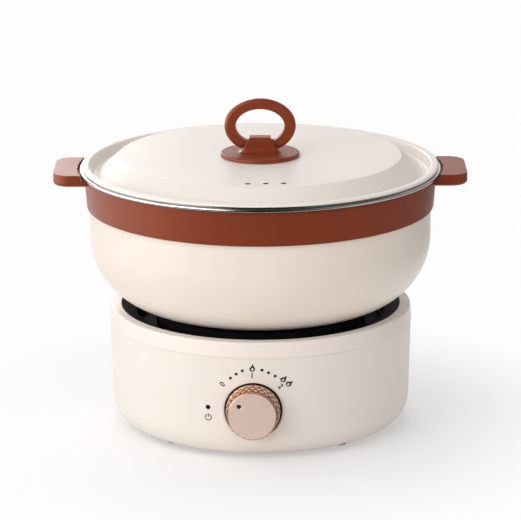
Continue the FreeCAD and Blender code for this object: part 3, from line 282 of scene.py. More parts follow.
finishLooks = {
    # moulded ABS with a fine spark-eroded texture: soft cream sheen, no sharp reflections
    "creamShell": {"name": "creamMouldedAbs", "light": "EDE4DC", "shade": "E9DFD6", "patchMm": 70,
                   "roughness": 0.40, "spread": 0.04, "grainMm": 0.5, "grainDepthMm": 0.006,
                   "sockets": {"IOR": 1.53}},
    # the same ABS from a smoother mould: a little warmer and glossier than the body
    "creamRing": {"name": "creamRingAbs", "light": "F0E5DD", "shade": "ECE0D7", "patchMm": 60,
                  "roughness": 0.32, "spread": 0.03, "grainMm": 0.7, "grainDepthMm": 0.004,
                  "sockets": {"IOR": 1.53}},
    # sprayed and baked coating on steel: warm cream with a faint orange peel that softens reflections
    "creamPot": {"name": "creamPotCoating", "light": "ECE0D5", "shade": "E8DACF", "patchMm": 90,
                 "roughness": 0.34, "spread": 0.04, "grainMm": 1.6, "grainDepthMm": 0.010,
                 "sockets": {"IOR": 1.52, "Coat Weight": 0.15, "Coat Roughness": 0.25}},
    # the lid's coating is a shade paler, with the same orange peel
    "creamLid": {"name": "creamLidCoating", "light": "EFE6DE", "shade": "EBE1D8", "patchMm": 80,
                 "roughness": 0.40, "spread": 0.04, "grainMm": 1.6, "grainDepthMm": 0.010,
                 "sockets": {"IOR": 1.52, "Coat Weight": 0.25, "Coat Roughness": 0.34}},
    # red-brown moulded phenolic: matt and dark, its soft reflections warm face on and pale at a graze
    "brown": {"name": "brownPhenolic", "light": "81371F", "shade": "79311B", "patchMm": 40,
              "roughness": 0.36, "spread": 0.05, "grainMm": 0.6, "grainDepthMm": 0.010,
              "sockets": {"IOR": 1.5, "Specular IOR Level": 0.8, "Specular Tint": "FFBB9A",
                          "Sheen Weight": 0.15, "Sheen Roughness": 0.25, "Sheen Tint": "FFC4A4"}},
    # drawn and buffed 304 stainless: bright, with rings from the buffing wheel
    "potSteel": {"name": "buffedStainless", "light": "D8D6D3", "shade": "CFCDCA", "patchMm": 50,
                 "roughness": 0.16, "spread": 0.04, "grainMm": 0.8, "grainDepthMm": 0.001,
                 "lines": {"lineMm": 0.7, "depthMm": 0.003, "strength": 0.5}, "sockets": {"Metallic": 1.0}},
    # rolled stainless with a satin finish, for screws, brackets and clips: soft grey streaks of light
    "steel": {"name": "satinStainless", "light": "BDBBB8", "shade": "B2B0AD", "patchMm": 20,
              "roughness": 0.32, "spread": 0.06, "grainMm": 0.4, "grainDepthMm": 0.003,
              "sockets": {"Metallic": 1.0}},
    # stamped stainless, silver-white and softly reflective
    "rackSteel": {"name": "stampedStainless", "light": "DAD8D4", "shade": "D0CDC8", "patchMm": 30,
                  "roughness": 0.30, "spread": 0.05, "grainMm": 0.5, "grainDepthMm": 0.003,
                  "sockets": {"Metallic": 1.0}},
    # cast aluminium, turned and darkened: fine rings that stretch each highlight sideways
    "plate": {"name": "darkTurnedAluminium", "light": "3A3A3C", "shade": "303032", "patchMm": 25,
              "roughness": 0.38, "spread": 0.05, "grainMm": 0.6, "grainDepthMm": 0.004,
              "lines": {"lineMm": 0.6, "depthMm": 0.010, "strength": 0.7}, "roundTangent": True,
              "sockets": {"Metallic": 0.85, "Anisotropic": 0.6}},
    # black non-stick coating on sheet: nearly black, with hardly any sheen and a faint speckle
    "blackSheet": {"name": "blackNonStick", "light": "0D0D0F", "shade": "08080A", "patchMm": 15,
                   "roughness": 0.50, "spread": 0.06, "grainMm": 0.8, "grainDepthMm": 0.010,
                   "sockets": {"IOR": 1.5, "Specular IOR Level": 0.04}},
    # the plate's unturned side: cast skin that gives no highlight, painted darker than the top as shade for
    # the gap under the pot
    "castSkinAndShade": {"name": "castAluminiumSkin", "light": "242426", "shade": "19191B", "patchMm": 8,
                 "roughness": 0.8, "spread": 0.06, "grainMm": 1.2, "grainDepthMm": 0.030,
                 "sockets": {"Specular IOR Level": 0.0213}},
    # heat-spreading disc: grey stainless, darkened as painted shade for the well under the pot, with turned
    # rings
    "baseDisc": {"name": "greyedStainless", "light": "4C4946", "shade": "3A3835", "patchMm": 25,
                 "roughness": 0.46, "spread": 0.06, "grainMm": 0.6, "grainDepthMm": 0.003,
                 "lines": {"lineMm": 0.9, "depthMm": 0.006, "strength": 0.6}, "sockets": {"Metallic": 1.0}},
    # the lid's vent walls: near black, painted shade inside the holes, so that each hole reads as a black
    # spot
    "ventShade": {"name": "heatCutSteel", "light": "1A1715", "shade": "12100E", "patchMm": 3,
                "roughness": 0.65, "spread": 0.06, "grainMm": 0.3, "grainDepthMm": 0.006,
                "sockets": {"Specular IOR Level": 0.2}},
    # black-oxide screws in the well: dull and nearly black, so that they hide against the coating
    "blackSteel": {"name": "blackOxideSteel", "light": "171717", "shade": "101010", "patchMm": 3,
                   "roughness": 0.60, "spread": 0.06, "grainMm": 0.3, "grainDepthMm": 0.004,
                   "sockets": {"Specular IOR Level": 0.1}},
    # rose gold plating over a moulded knurl: sharp warm reflections
    "roseGold": {"name": "roseGoldPlate", "light": "F4C8AE", "shade": "ECBA9E", "patchMm": 6,
                 "roughness": 0.25, "spread": 0.04, "grainMm": 0.4, "grainDepthMm": 0.001,
                 "sockets": {"Metallic": 0.8}},
    # the same plating blasted to a satin, paler and pinker than the knurl
    "roseFace": {"name": "roseSatinPlate", "light": "E6CBC0", "shade": "DFC2B6", "patchMm": 12,
                 "roughness": 0.38, "spread": 0.05, "grainMm": 0.25, "grainDepthMm": 0.004,
                 "sockets": {"Metallic": 0.2}},
    # dark brown gloss ABS of the bezel round the knob, painted shade for the gap round its skirt: reads as a
    # thin black line
    "bezelGapShade": {"name": "darkGlossAbs", "light": "1E1412", "shade": "170F0E", "patchMm": 10,
                 "roughness": 0.22, "spread": 0.04, "grainMm": 0.5, "grainDepthMm": 0.002,
                 "sockets": {"IOR": 1.53}},
    # pad-printed ink: warm black and slightly dull
    "ink": {"name": "padPrintInk", "light": "2B2322", "shade": "231C1B", "patchMm": 3, "roughness": 0.55,
            "spread": 0.05, "grainMm": 0.3, "grainDepthMm": 0.003, "sockets": {"IOR": 1.5}},
    # glass-filled nylon of the inlet and thermostat: matt black with a faint fibre mottle
    "blackPlastic": {"name": "blackNylon", "light": "1A1A1B", "shade": "131314", "patchMm": 4,
                     "roughness": 0.55, "spread": 0.08, "grainMm": 0.3, "grainDepthMm": 0.010,
                     "sockets": {"IOR": 1.53}},
    # smoked polycarbonate: dark and glossy, with a red cast
    "lens": {"name": "smokedPolycarbonate", "light": "2A1514", "shade": "1C0F0F", "patchMm": 2,
             "roughness": 0.12, "spread": 0.03, "grainMm": 0.5, "grainDepthMm": 0.001,
             "sockets": {"IOR": 1.585, "Transmission Weight": 0.25}},
    # small neon lamp: clear glass with a warm tint
    "lamp": {"name": "neonLampGlass", "light": "E9A98A", "shade": "E0987A", "patchMm": 2,
             "roughness": 0.08, "spread": 0.02, "grainMm": 0.8, "grainDepthMm": 0.001,
             "sockets": {"IOR": 1.47, "Transmission Weight": 0.7}},
    # dark silicone rubber: dull, with talc-like patches
    "rubber": {"name": "siliconeRubber", "light": "2E2C2B", "shade": "242221", "patchMm": 3,
               "roughness": 0.78, "spread": 0.08, "grainMm": 0.25, "grainDepthMm": 0.012,
               "sockets": {"IOR": 1.43}},
    # steatite beads: chalky white with a thin glaze
    "ceramic": {"name": "steatite", "light": "E6E2D8", "shade": "DBD6CA", "patchMm": 2,
                "roughness": 0.38, "spread": 0.06, "grainMm": 0.3, "grainDepthMm": 0.006,
                "sockets": {"IOR": 1.6}},
    # braided glass sleeve on the inner wires: off-white and dry, with a rough grain
    "sleeve": {"name": "glassSleeve", "light": "CFC8BB", "shade": "BDB5A6", "patchMm": 1.2,
               "roughness": 0.75, "spread": 0.08, "grainMm": 0.4, "grainDepthMm": 0.040,
               "sockets": {"IOR": 1.5}},
    # rolled brass pins: warm yellow, faintly mottled
    "brass": {"name": "rolledBrass", "light": "D9BC7C", "shade": "C9A866", "patchMm": 4,
              "roughness": 0.25, "spread": 0.05, "grainMm": 0.3, "grainDepthMm": 0.002,
              "sockets": {"Metallic": 1.0}},
    # heater tube sheath: steel browned by heat
    "sheath": {"name": "brownedSheath", "light": "5E564D", "shade": "47403A", "patchMm": 9,
               "roughness": 0.5, "spread": 0.08, "grainMm": 0.5, "grainDepthMm": 0.006,
               "sockets": {"Metallic": 0.8}},
}
finishes = {key: newMaterial(look) for key, look in finishLooks.items()}
print("materials:", len(finishes))

nodeFinish = {
    "creamShell": ["base_shell", "bottom_cover"],
    "creamRing": ["base_top_ring"],
    "brown": ["handle_band", "handle_saddle", "ring_handle"],
    "blackSheet": ["well_liner", "reflector_pan"],
    "steel": ["plate_posts", "cutout_clip", "fuse_clip", "thermostat_nut", "control_shaft",
              "handle_brackets", "handle_screw", "handle_washer"],
    "baseDisc": ["pot_base_disc"],
    "rackSteel": ["steam_rack"],
    "sheath": ["heating_element"],
    "ceramic": ["terminal_beads"],
    "blackPlastic": ["overheat_cutout", "thermostat_body", "inlet_socket"],
    "sleeve": ["thermal_fuse", "spade_connectors", "internal_wires"],
    "bezelGapShade": ["knob_bezel"],
    "roseFace": ["knob_face"],
    "lens": ["indicator_lens"],
    "lamp": ["indicator_lamp"],
    "brass": ["inlet_pins"],
    "rubber": ["base_feet"],
}
for key, names in nodeFinish.items():
    for name in names:
        nodes[name].data.materials.clear()
        nodes[name].data.materials.append(finishes[key])
print("packed solids dressed:", sum(len(names) for names in nodeFinish.values()))


# heater frame
knobAxis = joints["knob_turn"]["axis"]
knobPoint = joints["knob_turn"]["pos_m"]
heaterTurn = -math.atan2(knobAxis[0], knobAxis[1])  # the heater stands turned under the pot
knobHeight = knobPoint[2] / mm
wallAtKnob = math.hypot(knobPoint[0], knobPoint[1]) / mm
shellTop = {"radius": 127.7, "height": 90.3}        # the shell wall at its seam
shellTaper = (shellTop["radius"] - wallAtKnob) / (shellTop["height"] - knobHeight)


def wallRadius(height):
    return shellTop["radius"] - shellTaper * (shellTop["height"] - height)


def onKnobAxis(piece):
    # a piece turned about Z is laid on the knob's axis, with its zero at the shell wall
    piece.data.transform(Matrix.Rotation(heaterTurn, 4, "Z")
                         @ Matrix.Translation((0, -wallAtKnob * mm, knobHeight * mm))
                         @ Matrix.Rotation(math.radians(90), 4, "X"))


# trees for what repeats
def startTree(name, sockets):
    tree = bpy.data.node_groups.new(name, "GeometryNodeTree")
    for label, kind in sockets:
        tree.interface.new_socket(name=label, in_out="INPUT", socket_type=kind)
    tree.interface.new_socket(name="Geometry", in_out="OUTPUT", socket_type="NodeSocketGeometry")
    return tree, tree.nodes.new("NodeGroupInput").outputs


def endTree(tree, instances, finish):
    real = addNode(tree, "GeometryNodeRealizeInstances", Geometry=instances)
    dressed = addNode(tree, "GeometryNodeSetMaterial", Geometry=real, Material=finish)
    addNode(tree, "NodeGroupOutput", Geometry=dressed)


def growPiece(name, tree, values):
    # runs a tree on an empty carrier and keeps its result as a plain mesh
    piece = addObject(name, bpy.data.meshes.new(name))
    modifier = piece.modifiers.new("tree", "NODES")
    modifier.node_group = tree
    for item in tree.interface.items_tree:
        if item.in_out == "INPUT":
            modifier[item.identifier] = values[item.name]
    settleModifiers(piece)
    return piece


def circleTree():
    # copies of a source, evenly round a circle at a height, each turned with its place
    tree, given = startTree("copiesRoundCircle", [
        ("Source", "NodeSocketObject"), ("Count", "NodeSocketInt"), ("Radius", "NodeSocketFloat"),
        ("Height", "NodeSocketFloat"), ("First", "NodeSocketFloat"), ("Finish", "NodeSocketMaterial")])
    circle = addNode(tree, "GeometryNodeMeshCircle", Vertices=given["Count"], Radius=given["Radius"])
    source = addNode(tree, "GeometryNodeObjectInfo", Object=given["Source"])
    index = addNode(tree, "GeometryNodeInputIndex")
    share = addNode(tree, "ShaderNodeMath", {"operation": "DIVIDE"}, Value_0=index,
                    Value_1=given["Count"])
    angle = addNode(tree, "ShaderNodeMath", {"operation": "MULTIPLY"}, Value_0=share,
                    Value_1=2 * math.pi)
    turn = addNode(tree, "ShaderNodeCombineXYZ", Z=angle)
    copies = addNode(tree, "GeometryNodeInstanceOnPoints", Points=circle,
                     Instance=source.outputs["Geometry"], Rotation=turn)
    lift = addNode(tree, "ShaderNodeCombineXYZ", Z=given["Height"])
    first = addNode(tree, "ShaderNodeCombineXYZ", Z=given["First"])
    placed = addNode(tree, "GeometryNodeTransform", Geometry=copies, Translation=lift, Rotation=first)
    endTree(tree, placed, given["Finish"])
    return tree


def knurlTree():
    # rows of four-sided pyramids on a cone, each row half a pitch round from the last
    tree, given = startTree("knurlRows", [
        ("Around", "NodeSocketInt"), ("Rows", "NodeSocketInt"), ("Rear radius", "NodeSocketFloat"),
        ("Front radius", "NodeSocketFloat"), ("Start", "NodeSocketFloat"), ("Row step", "NodeSocketFloat"),
        ("Depth", "NodeSocketFloat"), ("Overlap", "NodeSocketFloat"), ("Finish", "NodeSocketMaterial")])
    total = addNode(tree, "ShaderNodeMath", {"operation": "MULTIPLY"}, Value_0=given["Around"],
                    Value_1=given["Rows"])
    points = addNode(tree, "GeometryNodeMeshLine", Count=total)
    index = addNode(tree, "GeometryNodeInputIndex").outputs["Index"]
    fraction = addNode(tree, "ShaderNodeMath", {"operation": "DIVIDE"}, Value_0=index,
                       Value_1=given["Around"])
    row = addNode(tree, "ShaderNodeMath", {"operation": "FLOOR"}, Value_0=fraction)
    odd = addNode(tree, "ShaderNodeMath", {"operation": "MODULO"}, Value_0=row, Value_1=2.0)
    place = addNode(tree, "ShaderNodeMath", {"operation": "MULTIPLY_ADD"}, Value_0=odd, Value_1=0.5,
                    Value_2=index)
    share = addNode(tree, "ShaderNodeMath", {"operation": "DIVIDE"}, Value_0=place,
                    Value_1=given["Around"])
    angle = addNode(tree, "ShaderNodeMath", {"operation": "MULTIPLY"}, Value_0=share,
                    Value_1=2 * math.pi)
    height = addNode(tree, "ShaderNodeMath", {"operation": "MULTIPLY_ADD"}, Value_0=row,
                     Value_1=given["Row step"], Value_2=given["Start"])
    down = addNode(tree, "ShaderNodeMath", {"operation": "DIVIDE"}, Value_0=row, Value_1=given["Rows"])
    radius = addNode(tree, "ShaderNodeMix", Factor=down, A_2=given["Rear radius"],
                     B_3=given["Front radius"])
    cosine = addNode(tree, "ShaderNodeMath", {"operation": "COSINE"}, Value_0=angle)
    sine = addNode(tree, "ShaderNodeMath", {"operation": "SINE"}, Value_0=angle)
    across = addNode(tree, "ShaderNodeMath", {"operation": "MULTIPLY"}, Value_0=cosine, Value_1=radius)
    along = addNode(tree, "ShaderNodeMath", {"operation": "MULTIPLY"}, Value_0=sine, Value_1=radius)
    spot = addNode(tree, "ShaderNodeCombineXYZ", X=across, Y=along, Z=height)
    moved = addNode(tree, "GeometryNodeSetPosition", Geometry=points, Position=spot)
    pyramid = addNode(tree, "GeometryNodeMeshCone", Vertices=4, Radius_Top=0.0, Radius_Bottom=1.0,
                      Depth=1.0)
    pitch = addNode(tree, "ShaderNodeMath", {"operation": "DIVIDE"}, Value_0=radius,
                    Value_1=given["Around"])
    halfPitch = addNode(tree, "ShaderNodeMath", {"operation": "MULTIPLY"}, Value_0=pitch,
                        Value_1=math.pi)
    width = addNode(tree, "ShaderNodeMath", {"operation": "MULTIPLY"}, Value_0=halfPitch,
                    Value_1=given["Overlap"])
    size = addNode(tree, "ShaderNodeCombineXYZ", X=given["Row step"], Y=width, Z=given["Depth"])
    outwards = addNode(tree, "ShaderNodeCombineXYZ", Y=math.pi / 2, Z=angle)
    copies = addNode(tree, "GeometryNodeInstanceOnPoints", Points=moved, Instance=pyramid,
                     Rotation=outwards, Scale=size)
    endTree(tree, copies, given["Finish"])
    return tree


roundCircle = circleTree()
knurl = knurlTree()
print("trees:", roundCircle.name, knurl.name)


# pot
def makePot():
    pot = {"radius": 143.6, "height": 117.6, "sheet": 0.8, "corner": 60.0, "collarRadius": 146.4,
           "collarDepth": 9.5, "collarRound": 1.5, "rimRadius": 150.4, "rimRound": 1.2, "bead": 1.5,
           "floor": 104.3}
    rim = pot["floor"] + pot["height"]
    flange = rim - pot["sheet"]
    collarFoot = rim - pot["collarDepth"]
    outside = [(pot["rimRadius"], flange), (pot["collarRadius"], flange, pot["rimRound"]),
               (pot["collarRadius"], collarFoot, pot["collarRound"]),
               (pot["radius"], collarFoot - pot["collarRadius"] + pot["radius"], pot["collarRound"]),
               (pot["radius"], pot["floor"], pot["corner"]), (0, pot["floor"])]
    inside = offsetPath(outside, pot["sheet"])[::-1]
    outer = roundedPath(outside, arcStep=3)
    inner = roundedPath(inside, arcStep=3)
    centre = (pot["rimRadius"], rim - pot["bead"])
    bead = []
    for turn in range(80, -190, -10):  # rolled edge, from its top round the outside and back under
        angle = math.radians(turn)
        bead.append((centre[0] + pot["bead"] * math.cos(angle), centre[1] + pot["bead"] * math.sin(angle)))
    piece = turnedPiece("potShell", [(inner, 0), (bead, 0), (outer[1:3], 0), (outer[3:], 1)],
                        [finishes["potSteel"], finishes["creamPot"]], segments=288)
    finish(piece, "pot", "pot_coating", "pot_body")


# lid
def makeLid():
    lid = {"radius": 150.0, "sheet": 0.8, "lip": 2.8, "crown": 7.0, "dish": 1.4, "flat": 36.0,
           "plateau": 118.7, "foot": 137.2, "channel": 141.0, "bead": 143.6, "channelDepth": 8.6,
           "steelEdge": 1.0, "ventRadius": 2.4, "ventCircle": 105.0, "ventPitch": 14.5, "ventTurn": 2.4,
           "flatRound": 60, "plateauRound": 2.5, "footRound": 3.0, "channelRound": 1.2, "beadRound": 1.8,
           "edgeRound": 2.0}
    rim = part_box("lid_panel")[0].z / mm + lid["channelDepth"] + lid["sheet"]
    middle, channel = rim + lid["crown"] - lid["dish"], rim - lid["channelDepth"]
    top = [(0, middle), (lid["flat"], middle, lid["flatRound"]),
           (lid["plateau"], rim + lid["crown"], lid["plateauRound"]),
           (lid["foot"], channel, lid["footRound"]), (lid["channel"], channel, lid["channelRound"]),
           (lid["bead"], rim, lid["beadRound"]), (lid["radius"], rim, lid["edgeRound"]),
           (lid["radius"], rim - lid["lip"])]
    under = roundedPath(offsetPath(top, lid["sheet"])[::-1], arcStep=5)
    upper = roundedPath(top, arcStep=4)
    creamEnd = (lid["radius"], rim - lid["lip"] + lid["steelEdge"])
    piece = turnedPiece("lidShell", [(upper[:-1] + [creamEnd], 1), (upper[-1:], 0), (under, 0)],
                        [finishes["potSteel"], finishes["creamLid"], finishes["ventShade"]], segments=288,
                        sharpAngle=40)
    cutters = []
    # the vents' tools carry the near-black painted shade onto the walls of the holes
    for index in (-1, 0, 1):
        spot = Vector((index * lid["ventPitch"], -lid["ventCircle"]))
        spot = spot @ Matrix.Rotation(-math.radians(lid["ventTurn"]), 2)
        cutters.append(toolSolid("vent%d" % index, lid["ventRadius"], rim, rim + 2 * lid["crown"], spot,
                                 [finishes["ventShade"]]))
    cutAway(piece, cutters, 40)
    finish(piece, "lid", "lid_coating", "lid_panel")


def makeSaddleBlend():
    # hollow curve that carries the saddle's front face down into the disc, narrowing to its corners
    blend = {"discThickness": 3.3, "front": 5.4, "reach": 5.6, "halfWidth": 17.6, "lean": 0.553,
             "foot": 16.15, "flareEnd": 19.1, "flareHeight": 2.6, "edge": 0.9, "back": 0.5, "sink": 0.3,
             "leastHeight": 0.05, "endShare": 0.999, "stations": 48, "steps": 10}
    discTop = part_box("handle_saddle")[0].z / mm + blend["discThickness"]
    flareStart = blend["foot"] - blend["flareHeight"] * blend["lean"]
    bm = bmesh.new()
    sections = []
    for station in range(blend["stations"] + 1):
        across = blend["halfWidth"] * (2 * station / blend["stations"] - 1)
        side = min(abs(across), blend["endShare"] * blend["halfWidth"])
        face = (blend["foot"] - side) / blend["lean"]  # height of the saddle's face here
        if side > flareStart:
            share = (blend["flareEnd"] - side) / (blend["flareEnd"] - flareStart)
            face = blend["flareHeight"] * share ** 2
        height = max(min(blend["reach"], face - blend["edge"]), blend["leastHeight"])
        reach = blend["reach"] * math.sqrt(1 - (side / blend["halfWidth"]) ** 2)
        inner = blend["back"] - blend["front"]
        section = [(inner, -blend["sink"]), (inner, height)]
        for step in range(blend["steps"] + 1):
            angle = math.pi / 2 * step / blend["steps"]
            section.append((-blend["front"] - reach * (1 - math.cos(angle)),
                            height * (1 - math.sin(angle))))
        section.append((-blend["front"] - reach, -blend["sink"]))
        sections.append([bm.verts.new((across * mm, y * mm, (discTop + z) * mm)) for y, z in section])
    for near, far in zip(sections, sections[1:]):
        for index in range(len(near)):
            following = (index + 1) % len(near)
            bm.faces.new([near[index], near[following], far[following], far[index]])
    bm.faces.new(sections[0])
    bm.faces.new(sections[-1][::-1])
    piece = finishMesh("saddleFootBlend", bm, [finishes["brown"]], 50)
    finish(piece, "lid", "brown_plastic")


# seam
def makeSeamLip():
    # step of the shell just behind its seam, which leaves the seam a shallow line
    seam = {"gap": 0.4, "behind": 0.22, "width": 0.9, "bite": 0.02}
    outer = shellTop["radius"] - seam["behind"]
    low, high = shellTop["height"] - seam["bite"], shellTop["height"] + seam["gap"] + seam["bite"]
    corners = [(outer - seam["width"], low), (outer, low), (outer, high), (outer - seam["width"], high)]
    piece = turnedPiece("seamLip", [(corners, 0)], [finishes["creamShell"]])
    finish(piece, "base", "shell_plastic")


# hot plate
def makeHotPlate():
    plate = {"radius": 89.0, "edge": 1.2, "dimple": 14.0, "dimpleDepth": 0.3, "dimpleSlope": 0.4,
             "ringStep": 2.4, "ringHalf": 0.35, "ringDepth": 0.10}
    low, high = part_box("hot_plate")
    bottom, top = low.z / mm, high.z / mm
    profile = [(0, top - plate["dimpleDepth"]), (plate["dimple"], top - plate["dimpleDepth"]),
               (plate["dimple"] + plate["dimpleSlope"], top)]
    place = plate["dimple"] + plate["ringStep"]
    while place < plate["radius"] - 2 * plate["edge"]:  # turned rings
        profile += [(place - plate["ringHalf"], top), (place, top - plate["ringDepth"]),
                    (place + plate["ringHalf"], top)]
        place += plate["ringStep"]
    rim = roundedPath([(place - plate["ringStep"], top), (plate["radius"], top, plate["edge"]),
                       (plate["radius"], bottom, plate["edge"]), (0, bottom)], arcStep=15)
    # the plate's side and underside take the dark cast skin, painted shade for the gap under the pot
    piece = turnedPiece("turnedHotPlate", [(profile, 0), (rim[1:], 1)],
                        [finishes["plate"], finishes["castSkinAndShade"]], segments=192)
    finish(piece, "base", "dark_cast_aluminium", "hot_plate")


# knob
def makeKnob():
    knob = {"back": -2.0, "rear": 22.3, "front": 20.6, "faceSeat": 19.3, "reach": 16.0, "flangeEnd": 1.4,
            "wall": 2.4, "hub": 6.0, "shaft": 3.0, "hubBack": 1.2, "lipInset": 0.3, "lipDepth": 1.5,
            "knurlEnd": 1.9, "around": 26, "rows": 3, "rowStep": 3.9, "firstRow": 3.1, "knurl": 0.6,
            "overlap": 1.02, "backRound": 0.4, "flangeRound": 0.5, "footRound": 0.2, "lipRound": 0.3,
            "frontRound": 0.6}
    lip = knob["front"] - knob["lipInset"]  # the knurl stands a little proud of it
    seat = knob["reach"] - knob["wall"]
    recess = knob["reach"] - knob["wall"] / 2
    outside = [(knob["rear"] - knob["wall"], knob["back"]), (knob["rear"], knob["back"], knob["backRound"]),
               (knob["rear"], knob["flangeEnd"], knob["flangeRound"]),
               (knob["rear"] - knob["knurl"], knob["flangeEnd"], knob["footRound"]),
               (knob["front"] - knob["knurl"], knob["reach"] - knob["knurlEnd"], knob["lipRound"]),
               (lip, knob["reach"] - knob["lipDepth"], knob["lipRound"]),
               (lip, knob["reach"], knob["frontRound"]),
               (knob["faceSeat"], knob["reach"], knob["footRound"]), (knob["faceSeat"], recess)]
    inside = [(0, recess), (0, seat), (knob["shaft"], seat), (knob["shaft"], knob["hubBack"]),
              (knob["hub"], knob["hubBack"]), (knob["hub"], seat), (knob["front"] - knob["wall"], seat)]
    body = turnedPiece("knobBody", [(roundedPath(outside, arcStep=15) + inside, 0)], [finishes["roseGold"]],
                       segments=156)
    onKnobAxis(body)
    finish(body, "knob", "rose_metal", "knob_body")
    grip = growPiece("knobGrip", knurl, {
        "Around": knob["around"], "Rows": knob["rows"],
        "Rear radius": (knob["rear"] - knob["knurl"] / 2) * mm,
        "Front radius": (knob["front"] - knob["knurl"] / 2) * mm, "Start": knob["firstRow"] * mm,
        "Row step": knob["rowStep"] * mm, "Depth": knob["knurl"] * mm, "Overlap": knob["overlap"],
        "Finish": finishes["roseGold"]})
    onKnobAxis(grip)
    finish(grip, "knob", "rose_metal")


def makeKnobDimpleShade():
    # dark disc in the bottom of the face's dimple: painted shade for the recess, with the dimple's bright
    # edge left round it
    mark = {"faceFront": 17.0, "circle": 13.6, "turn": 142, "radius": 1.9, "below": 0.45, "thickness": 0.4}
    top = mark["faceFront"] - mark["below"]
    bottom = top - mark["thickness"]
    corners = [(0, top), (mark["radius"], top), (mark["radius"], bottom), (0, bottom)]
    piece = turnedPiece("knobMark", [(corners, 0)], [finishes["ink"]], segments=48)
    turn = math.radians(mark["turn"])
    spot = (mark["circle"] * math.cos(turn) * mm, mark["circle"] * math.sin(turn) * mm, 0)
    piece.data.transform(Matrix.Translation(spot))
    onKnobAxis(piece)
    finish(piece, "knob", "dark_trim")


# screws
def crossScrew(screw, length):
    # pan head with a cross recess, head upwards from zero and shank below it
    head, height = screw["head"], screw["headHeight"]
    crown, side = head * screw["crownShare"], height * screw["sideShare"]
    corners = [(0, height), (crown, height, screw["crownRound"]), (head, side, screw["sideRound"]),
               (head, 0), (screw["shank"], 0), (screw["shank"], -length, screw["tipRound"]), (0, -length)]
    profile = roundedPath(corners, arcStep=20)
    piece = turnedPiece("screw", [(profile, 0)], [finishes["steel"]], segments=32)
    bars = []
    for turn in (0, 90):
        bm = bmesh.new()
        bmesh.ops.create_cube(bm, size=1)
        bmesh.ops.scale(bm, verts=bm.verts, vec=(head * screw["crossLength"] * mm,
                                                 head * screw["crossWidth"] * mm,
                                                 height * screw["crossDepth"] * mm))
        bmesh.ops.rotate(bm, verts=bm.verts, matrix=Matrix.Rotation(math.radians(turn), 3, "Z"))
        bmesh.ops.translate(bm, verts=bm.verts, vec=(0, 0, height * mm))
        bars.append(finishMesh("crossBar", bm, []))
    cutAway(piece, bars)
    return piece


def makeScrews():
    screw = {"shank": 1.6, "head": 3.2, "headHeight": 1.8, "crownRound": 0.5, "sideRound": 0.4,
             "tipRound": 0.3,  # the rest are shares of the head's radius or height
             "crownShare": 0.75, "sideShare": 0.35, "crossLength": 1.05, "crossWidth": 0.26,
             "crossDepth": 1.2}
    sets = {
        "coverScrewHeads": {"node": "cover_screws", "count": 4, "circle": 85.0, "seat": 3.8, "length": 10.0,
                            "first": 45, "headDown": True, "finish": "steel"},
        "linerScrewHeads": {"node": "liner_screws", "count": 4, "circle": 97.5, "seat": 88.0, "length": 10.0,
                            "first": 45, "headDown": False, "finish": "blackSteel"},
        "plateScrewHeads": {"node": "plate_screws", "count": 3, "circle": 40.0, "seat": 76.8, "length": 18.9,
                            "first": 90, "headDown": True, "finish": "steel"},
    }
    upsideDown = Matrix.Rotation(math.pi, 4, "X")
    for name, group in sets.items():
        source = crossScrew(screw, group["length"])
        if group["headDown"]:
            source.data.transform(upsideDown)
        piece = growPiece(name, roundCircle, {
            "Source": source, "Count": group["count"], "Radius": group["circle"] * mm,
            "Height": group["seat"] * mm, "First": math.radians(group["first"]) + heaterTurn,
            "Finish": finishes[group["finish"]]})
        bpy.data.objects.remove(source)
        finish(piece, "base", "steel", group["node"])
    # two screws up into each side handle
    handle = {"reach": 157.0, "row": 12.0}
    low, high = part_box("handle_screws")
    seat = low.z / mm + screw["headHeight"]
    source = crossScrew(screw, high.z / mm - seat)
    source.data.transform(upsideDown)
    bm = bmesh.new()
    for side in (-1, 1):
        for row in (-1, 1):
            copy = source.data.copy()
            spot = Vector((side * handle["reach"], row * handle["row"], seat)) * mm
            copy.transform(Matrix.Translation(spot))
            bm.from_mesh(copy)
    bpy.data.objects.remove(source)
    finish(finishMesh("handleScrewHeads", bm, [finishes["steel"]]), "pot", "steel", "handle_screws")


# printed scale
def printOnShell(name, curve, across, height, tilt=0.0):
    # makes a curve a mesh and bends it onto the shell wall, this far across and up from the knob's axis
    carrier = addObject(name + "Curve", curve)
    mesh = plainMesh(carrier)
    bpy.data.objects.remove(carrier)
    mesh.materials.append(finishes["ink"])
    turn = Matrix.Rotation(math.radians(tilt), 4, "Z")
    for vertex in mesh.vertices:
        point = turn @ vertex.co
        level = (knobHeight + height) * mm + point.y
        radius = wallRadius(level / mm) * mm + point.z
        angle = (across * mm + point.x) / (wallAtKnob * mm) + heaterTurn
        vertex.co = (radius * math.sin(angle), -radius * math.cos(angle), level)
    finish(addObject(name, mesh), "base", "dark_trim")


def flatPrint(name, outlines, thickness):
    # a filled outline with holes, as thin as ink; a corner marked as a tip is sharp
    curve = bpy.data.curves.new(name, "CURVE")
    curve.dimensions = "2D"
    curve.fill_mode = "BOTH"
    curve.resolution_u = 8
    curve.extrude = thickness * mm
    for corners in outlines:
        spline = curve.splines.new("BEZIER")
        spline.bezier_points.add(len(corners) - 1)
        spline.use_cyclic_u = True
        for point, corner in zip(spline.bezier_points, corners):
            point.co = (corner[0] * mm, corner[1] * mm, 0)
            kind = "VECTOR" if len(corner) > 2 else "AUTO"
            point.handle_left_type = kind
            point.handle_right_type = kind
    return curve


def digitPrint(name, text, scale):
    curve = bpy.data.curves.new(name, "FONT")
    curve.body = text
    curve.size = scale["digitHeight"] * mm / scale["digitShare"]
    curve.align_x = "CENTER"
    curve.align_y = "CENTER"
    curve.extrude = scale["ink"] * mm
    curve.offset = scale["digitStroke"] * mm
    return curve


def arcPoints(radius, angles):
    turns = [math.radians(angle) for angle in angles]
    return [(radius * math.cos(turn), radius * math.sin(turn)) for turn in turns]


